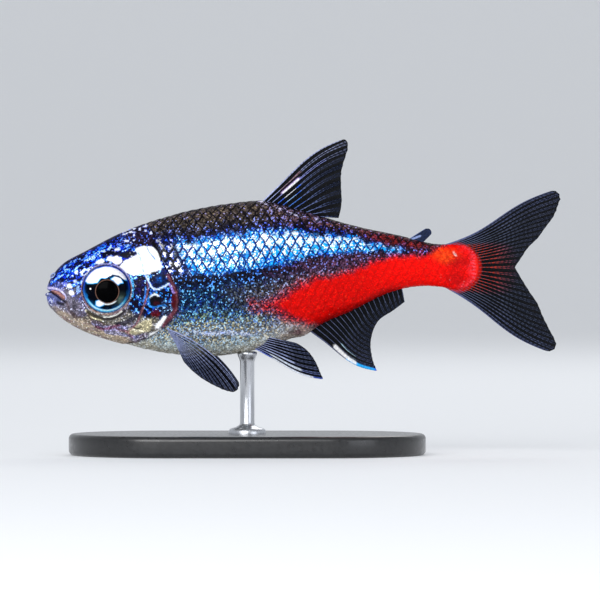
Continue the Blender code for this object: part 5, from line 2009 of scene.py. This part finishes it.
def fins(form: BodyForm) -> list[Fin]:
    """All nine fins, rooted a little way into the body.

    Args:
        form: the body's form.

    Returns:
        The fins, from the dorsal to the paired ones.
    """
    tail = {
        "ray_colours": ("#586078", "#3d4459", "#66709c"), "gather": 1.2, "red_reach": 3.0, "ray_radius": 0.033,
        "jointed": 0.6,
    }
    single = [
        Fin(
            "dorsal", profile_root(form, form.top, -2.85, 0.95, -0.12), chord_curve(DORSAL_EDGE), 11,
            ("#7484bc", "#28324e", "#c4ccf8"), bow=0.42, sway=-0.11, lag=1.1, gather=1.1, jointed=0.55,
            branch_at=(0.28, 0.7), painted_highlights=DORSAL_HIGHLIGHTS, replaced=("dorsal_fin",),
        ),
        Fin(
            "anal", profile_root(form, form.bottom, 0.5, 6.9, 0.12), chord_curve(ANAL_EDGE), 20,
            ("#545e7a", "#343c54", "#5c6488"), bow=-0.36, sway=0.13, painted_highlights=ANAL_HIGHLIGHTS, replaced=("anal_fin",),
        ),
        Fin(
            "caudal_upper", flesh_root(form, form.top, 1.0), chord_curve(CAUDAL_UPPER_EDGE), 16,
            bow=-0.01, sway=-0.19, replaced=("caudal_fin_upper",), **tail,
        ),
        Fin(
            "caudal_lower", flesh_root(form, form.bottom, -1.0), chord_curve(CAUDAL_LOWER_EDGE), 15,
            bow=-0.17, sway=0.16, replaced=("caudal_fin_lower",), **tail,
        ),
        Fin(
            "adipose", profile_root(form, form.top, 7.45, 8.35, -0.1), chord_curve(ADIPOSE_EDGE), 5,
            ("#3b4d77", "#3b4d77", "#6a80b8"), tissue="#222b46", ray_radius=0.03, thickness=0.14, opacity=0.97,
            fold=0.0, painted_highlights=ADIPOSE_HIGHLIGHTS, replaced=("adipose_fin",),
        ),
    ]
    return single + [paired.fin(form, flank) for flank in Flank for paired in PAIRED_FINS]


@dataclass
class Stand:
    """The flat base with round ends and the slim rod that holds the fish."""

    length: float = 25.0
    width: float = 14.0
    thickness: float = 1.5
    edge: float = 0.35
    rings: tuple[float, ...] = (7.0, 3.0, 1.0)  # rings of its flat faces, in from the rim
    rod_x: float = -3.9
    head: Points = (  # the rod's radius, and height from the belly
        (0.001, 0.0), (0.5, 0.0), (0.66, -0.06), (0.7, -0.16), (0.68, -0.26), (0.58, -0.5), (0.5, -0.75),
    )
    foot: Points = (  # the rod's radius, and height above the base
        (0.5, 0.75), (0.56, 0.6), (0.8, 0.46), (1.15, 0.36), (1.27, 0.26), (1.3, 0.12), (1.3, 0.0), (0.001, 0.0),
    )

    def add(self, name: str, node: str, points: Array, finish: Material) -> None:
        """Makes a turned piece, closed by a flat face at either end, with its corners crisp.

        Args:
            name: the piece's name.
            node: the CAD node that it stands for.
            points: from turned().
            finish: its material.
        """
        rows, columns = points.shape[:2]
        ring = list(range(columns))
        faces = grid_faces(rows, columns, wrap=True).tolist()
        faces += [ring[::-1], [(rows - 1) * columns + place for place in ring]]
        piece = new_piece(name, points, faces, finish, (node,))
        piece.data.set_sharp_from_angle(angle=math.radians(50))

    def base(self, finish: Material) -> None:
        """The outline is a circle pulled apart along X; the profile is a quarter round at both rims.

        Args:
            finish: the base's material.
        """
        turn = full_turn(240)
        quarter = np.linspace(0.0, math.pi / 2, 9)
        upright, level = self.edge * (1 - np.sin(quarter)), self.edge * (1 - np.cos(quarter))
        inset = np.concatenate([self.rings, upright, level, self.rings[::-1]])
        flat = np.zeros(len(self.rings))
        height = np.concatenate([flat, level, self.thickness - upright, flat + self.thickness])
        radius = self.width / 2 - np.minimum(inset, self.width / 2 - 0.001)
        apart = np.clip(np.cos(turn) * 60, -1, 1) * (self.length - self.width) / 2
        points = turned(radius, height - SWIM_HEIGHT, turn, self.rod_x + apart)
        self.add("stand_base_top", "stand_base", points, finish)

    def rod(self, form: BodyForm, finish: Material) -> None:
        """A profile turned round the rod's axis, from its foot on the base to its head under the belly.

        Args:
            form: the body's form, which the head meets.
            finish: the rod's material.
        """
        belly = float(form.bottom(form.angle(self.rod_x))) + 0.05
        profile = np.concatenate([
            np.array(self.head) + (0.0, belly), np.array(self.foot) + (0.0, self.thickness - SWIM_HEIGHT)
        ])
        points = turned(profile[:, 0], profile[:, 1], full_turn(72), self.rod_x)
        self.add("stand_rod_turned", "stand_rod", points, finish)


# The studio


@dataclass
class Studio:
    """A pale bowl-shaped backdrop that is floor and wall in one, soft lamps, and the camera."""

    floor_radius: float = 560.0
    bowl_radius: float = 1400.0
    bowl_height: float = 1200.0
    sides: int = 96
    view_width: float = 42.0  # what the photo's width shows at the fish, mm
    lens: float = 400.0
    sensor: float = 36.0
    elevation: float = 0.7  # degrees

    def backdrop(self) -> None:
        """Makes a profile of flat floor, rounded rise and wall, turned round the fish."""
        r = np.linspace(0.0, 1.0, 80)
        radius = self.bowl_radius * (1 - (1 - r) ** 2.2)
        beyond = (radius - self.floor_radius) / (self.bowl_radius - self.floor_radius)
        height = self.bowl_height * np.clip(beyond, 0, 1) ** 2.4
        points = turned(radius[1:], height[1:], full_turn(self.sides)).reshape(-1, 3)
        points = np.concatenate([points, [[0.0, 0.0, 0.0]]]) * MM
        ring = np.arange(self.sides)
        faces = grid_faces(len(r) - 1, self.sides, wrap=True).tolist()
        faces += np.stack([0 * ring + len(points) - 1, np.roll(ring, -1), ring], -1).tolist()
        mesh = bpy.data.meshes.new("backdrop")
        mesh.from_pydata(points.tolist(), [], faces)
        mesh.shade_smooth()
        material, tree, shader = new_material("pale_paper")
        set_inputs(tree, shader, {
            "Base Color": rgba("#cfd1d4"),
            "Emission Color": rgba("#f3f5f8"),
            "Emission Strength": 0.25,
            "Roughness": 0.9,
        })
        mesh.materials.append(material)
        floor = bpy.data.objects.new("backdrop", mesh)
        bpy.context.scene.collection.objects.link(floor)

    def lamp(self, name: str, place: Point, size: float, power: float, colour: str) -> None:
        """Adds a soft square lamp that faces the fish.

        Args:
            name: the lamp's name.
            place: where it hangs, in mm.
            size: its side, in mm.
            power: watts.
            colour: an sRGB hex colour.
        """
        data = bpy.data.lights.new(name, "AREA")
        data.shape = "SQUARE"
        data.size = size * MM
        data.energy = power
        data.color = linear(colour)
        lamp = bpy.data.objects.new(name, data)
        lamp.location = Vector(place) * MM
        aim = Vector((0.0, 0.0, SWIM_HEIGHT * MM)) - lamp.location
        lamp.rotation_euler = aim.to_track_quat("-Z", "Y").to_euler()
        bpy.context.scene.collection.objects.link(lamp)

    def build(self) -> None:
        """Makes backdrop, lamps, world and camera."""
        self.backdrop()
        self.lamp("key_softbox", (-120.0, -330.0, 170.0), 260.0, 1.05, "#ffffff")
        self.lamp("fill_softbox", (260.0, -290.0, 60.0), 220.0, 0.25, "#f2f6ff")
        self.lamp("rim_softbox", (60.0, 260.0, 260.0), 200.0, 0.3, "#ffffff")
        world = bpy.data.worlds.new("studio_air")
        world.use_nodes = True
        sky = world.node_tree.nodes["Background"]
        set_inputs(world.node_tree, sky, {"Color": rgba("#e9edf2"), "Strength": 0.55})
        bpy.context.scene.world = world
        scene = bpy.context.scene
        scene.view_settings.view_transform = "Standard"
        scene.view_settings.look = "None"
        data = bpy.data.cameras.new("camera")
        data.lens = self.lens
        data.sensor_width = self.sensor
        data.clip_start = 0.005
        data.clip_end = 10.0
        camera = bpy.data.objects.new("camera", data)
        aim = Vector((-0.21, 0.0, SWIM_HEIGHT - 0.75)) * MM
        distance = self.view_width * MM * self.lens / self.sensor
        tilt = math.radians(self.elevation)
        camera.location = aim + distance * Vector((0.0, -math.cos(tilt), math.sin(tilt)))
        camera.rotation_euler = (aim - camera.location).to_track_quat("-Z", "Y").to_euler()
        scene.collection.objects.link(camera)
        scene.camera = camera


def main() -> None:
    """Builds the fish, the stand and the studio."""
    logging.basicConfig(level=logging.INFO, format="%(name)s: %(message)s")
    form = BodyForm()
    markings = Markings(form)
    wet_skin = FishSkinFinish().material()
    eye = EyeFinish().material()
    membrane = FinFinish("fin_membrane", 0.4).material()
    ray = FinFinish("fin_ray", 0.35).material()
    heads = ("head", "lower_jaw", "gill_cover_left", "gill_cover_right")
    trunks = ("trunk", "tail_stem")
    Skin(form, markings, "head_skin", (form.snout, -7.9), 300, 330, heads).build(wet_skin)
    Skin(form, markings, "trunk_skin", (-8.1, form.snout + form.length), 260, 200, trunks).build(wet_skin)
    ScaleCoat(form, markings).build(FishSkinFinish("wet_fish_scales", scaled=True).material())
    Mouth(form).build(wet_skin)
    for flank in Flank:
        Eye(flank).build(eye, markings.noise)
    for fin in fins(form):
        fin.build(membrane, ray, markings.noise)
    stand = Stand()
    stand.base(StandFinish("satin_black_acrylic", "#0c0c0e", 0.0, 0.32, 0.3, (1.0, 1.0, 1.0), 0.4).material())
    stand.rod(form, StandFinish("drawn_steel", "#b9bbbf", 1.0, 0.28, 0.05, (1.0, 1.0, 30.0), 0.0).material())
    Studio().build()


if __name__ == "__main__":
    main()
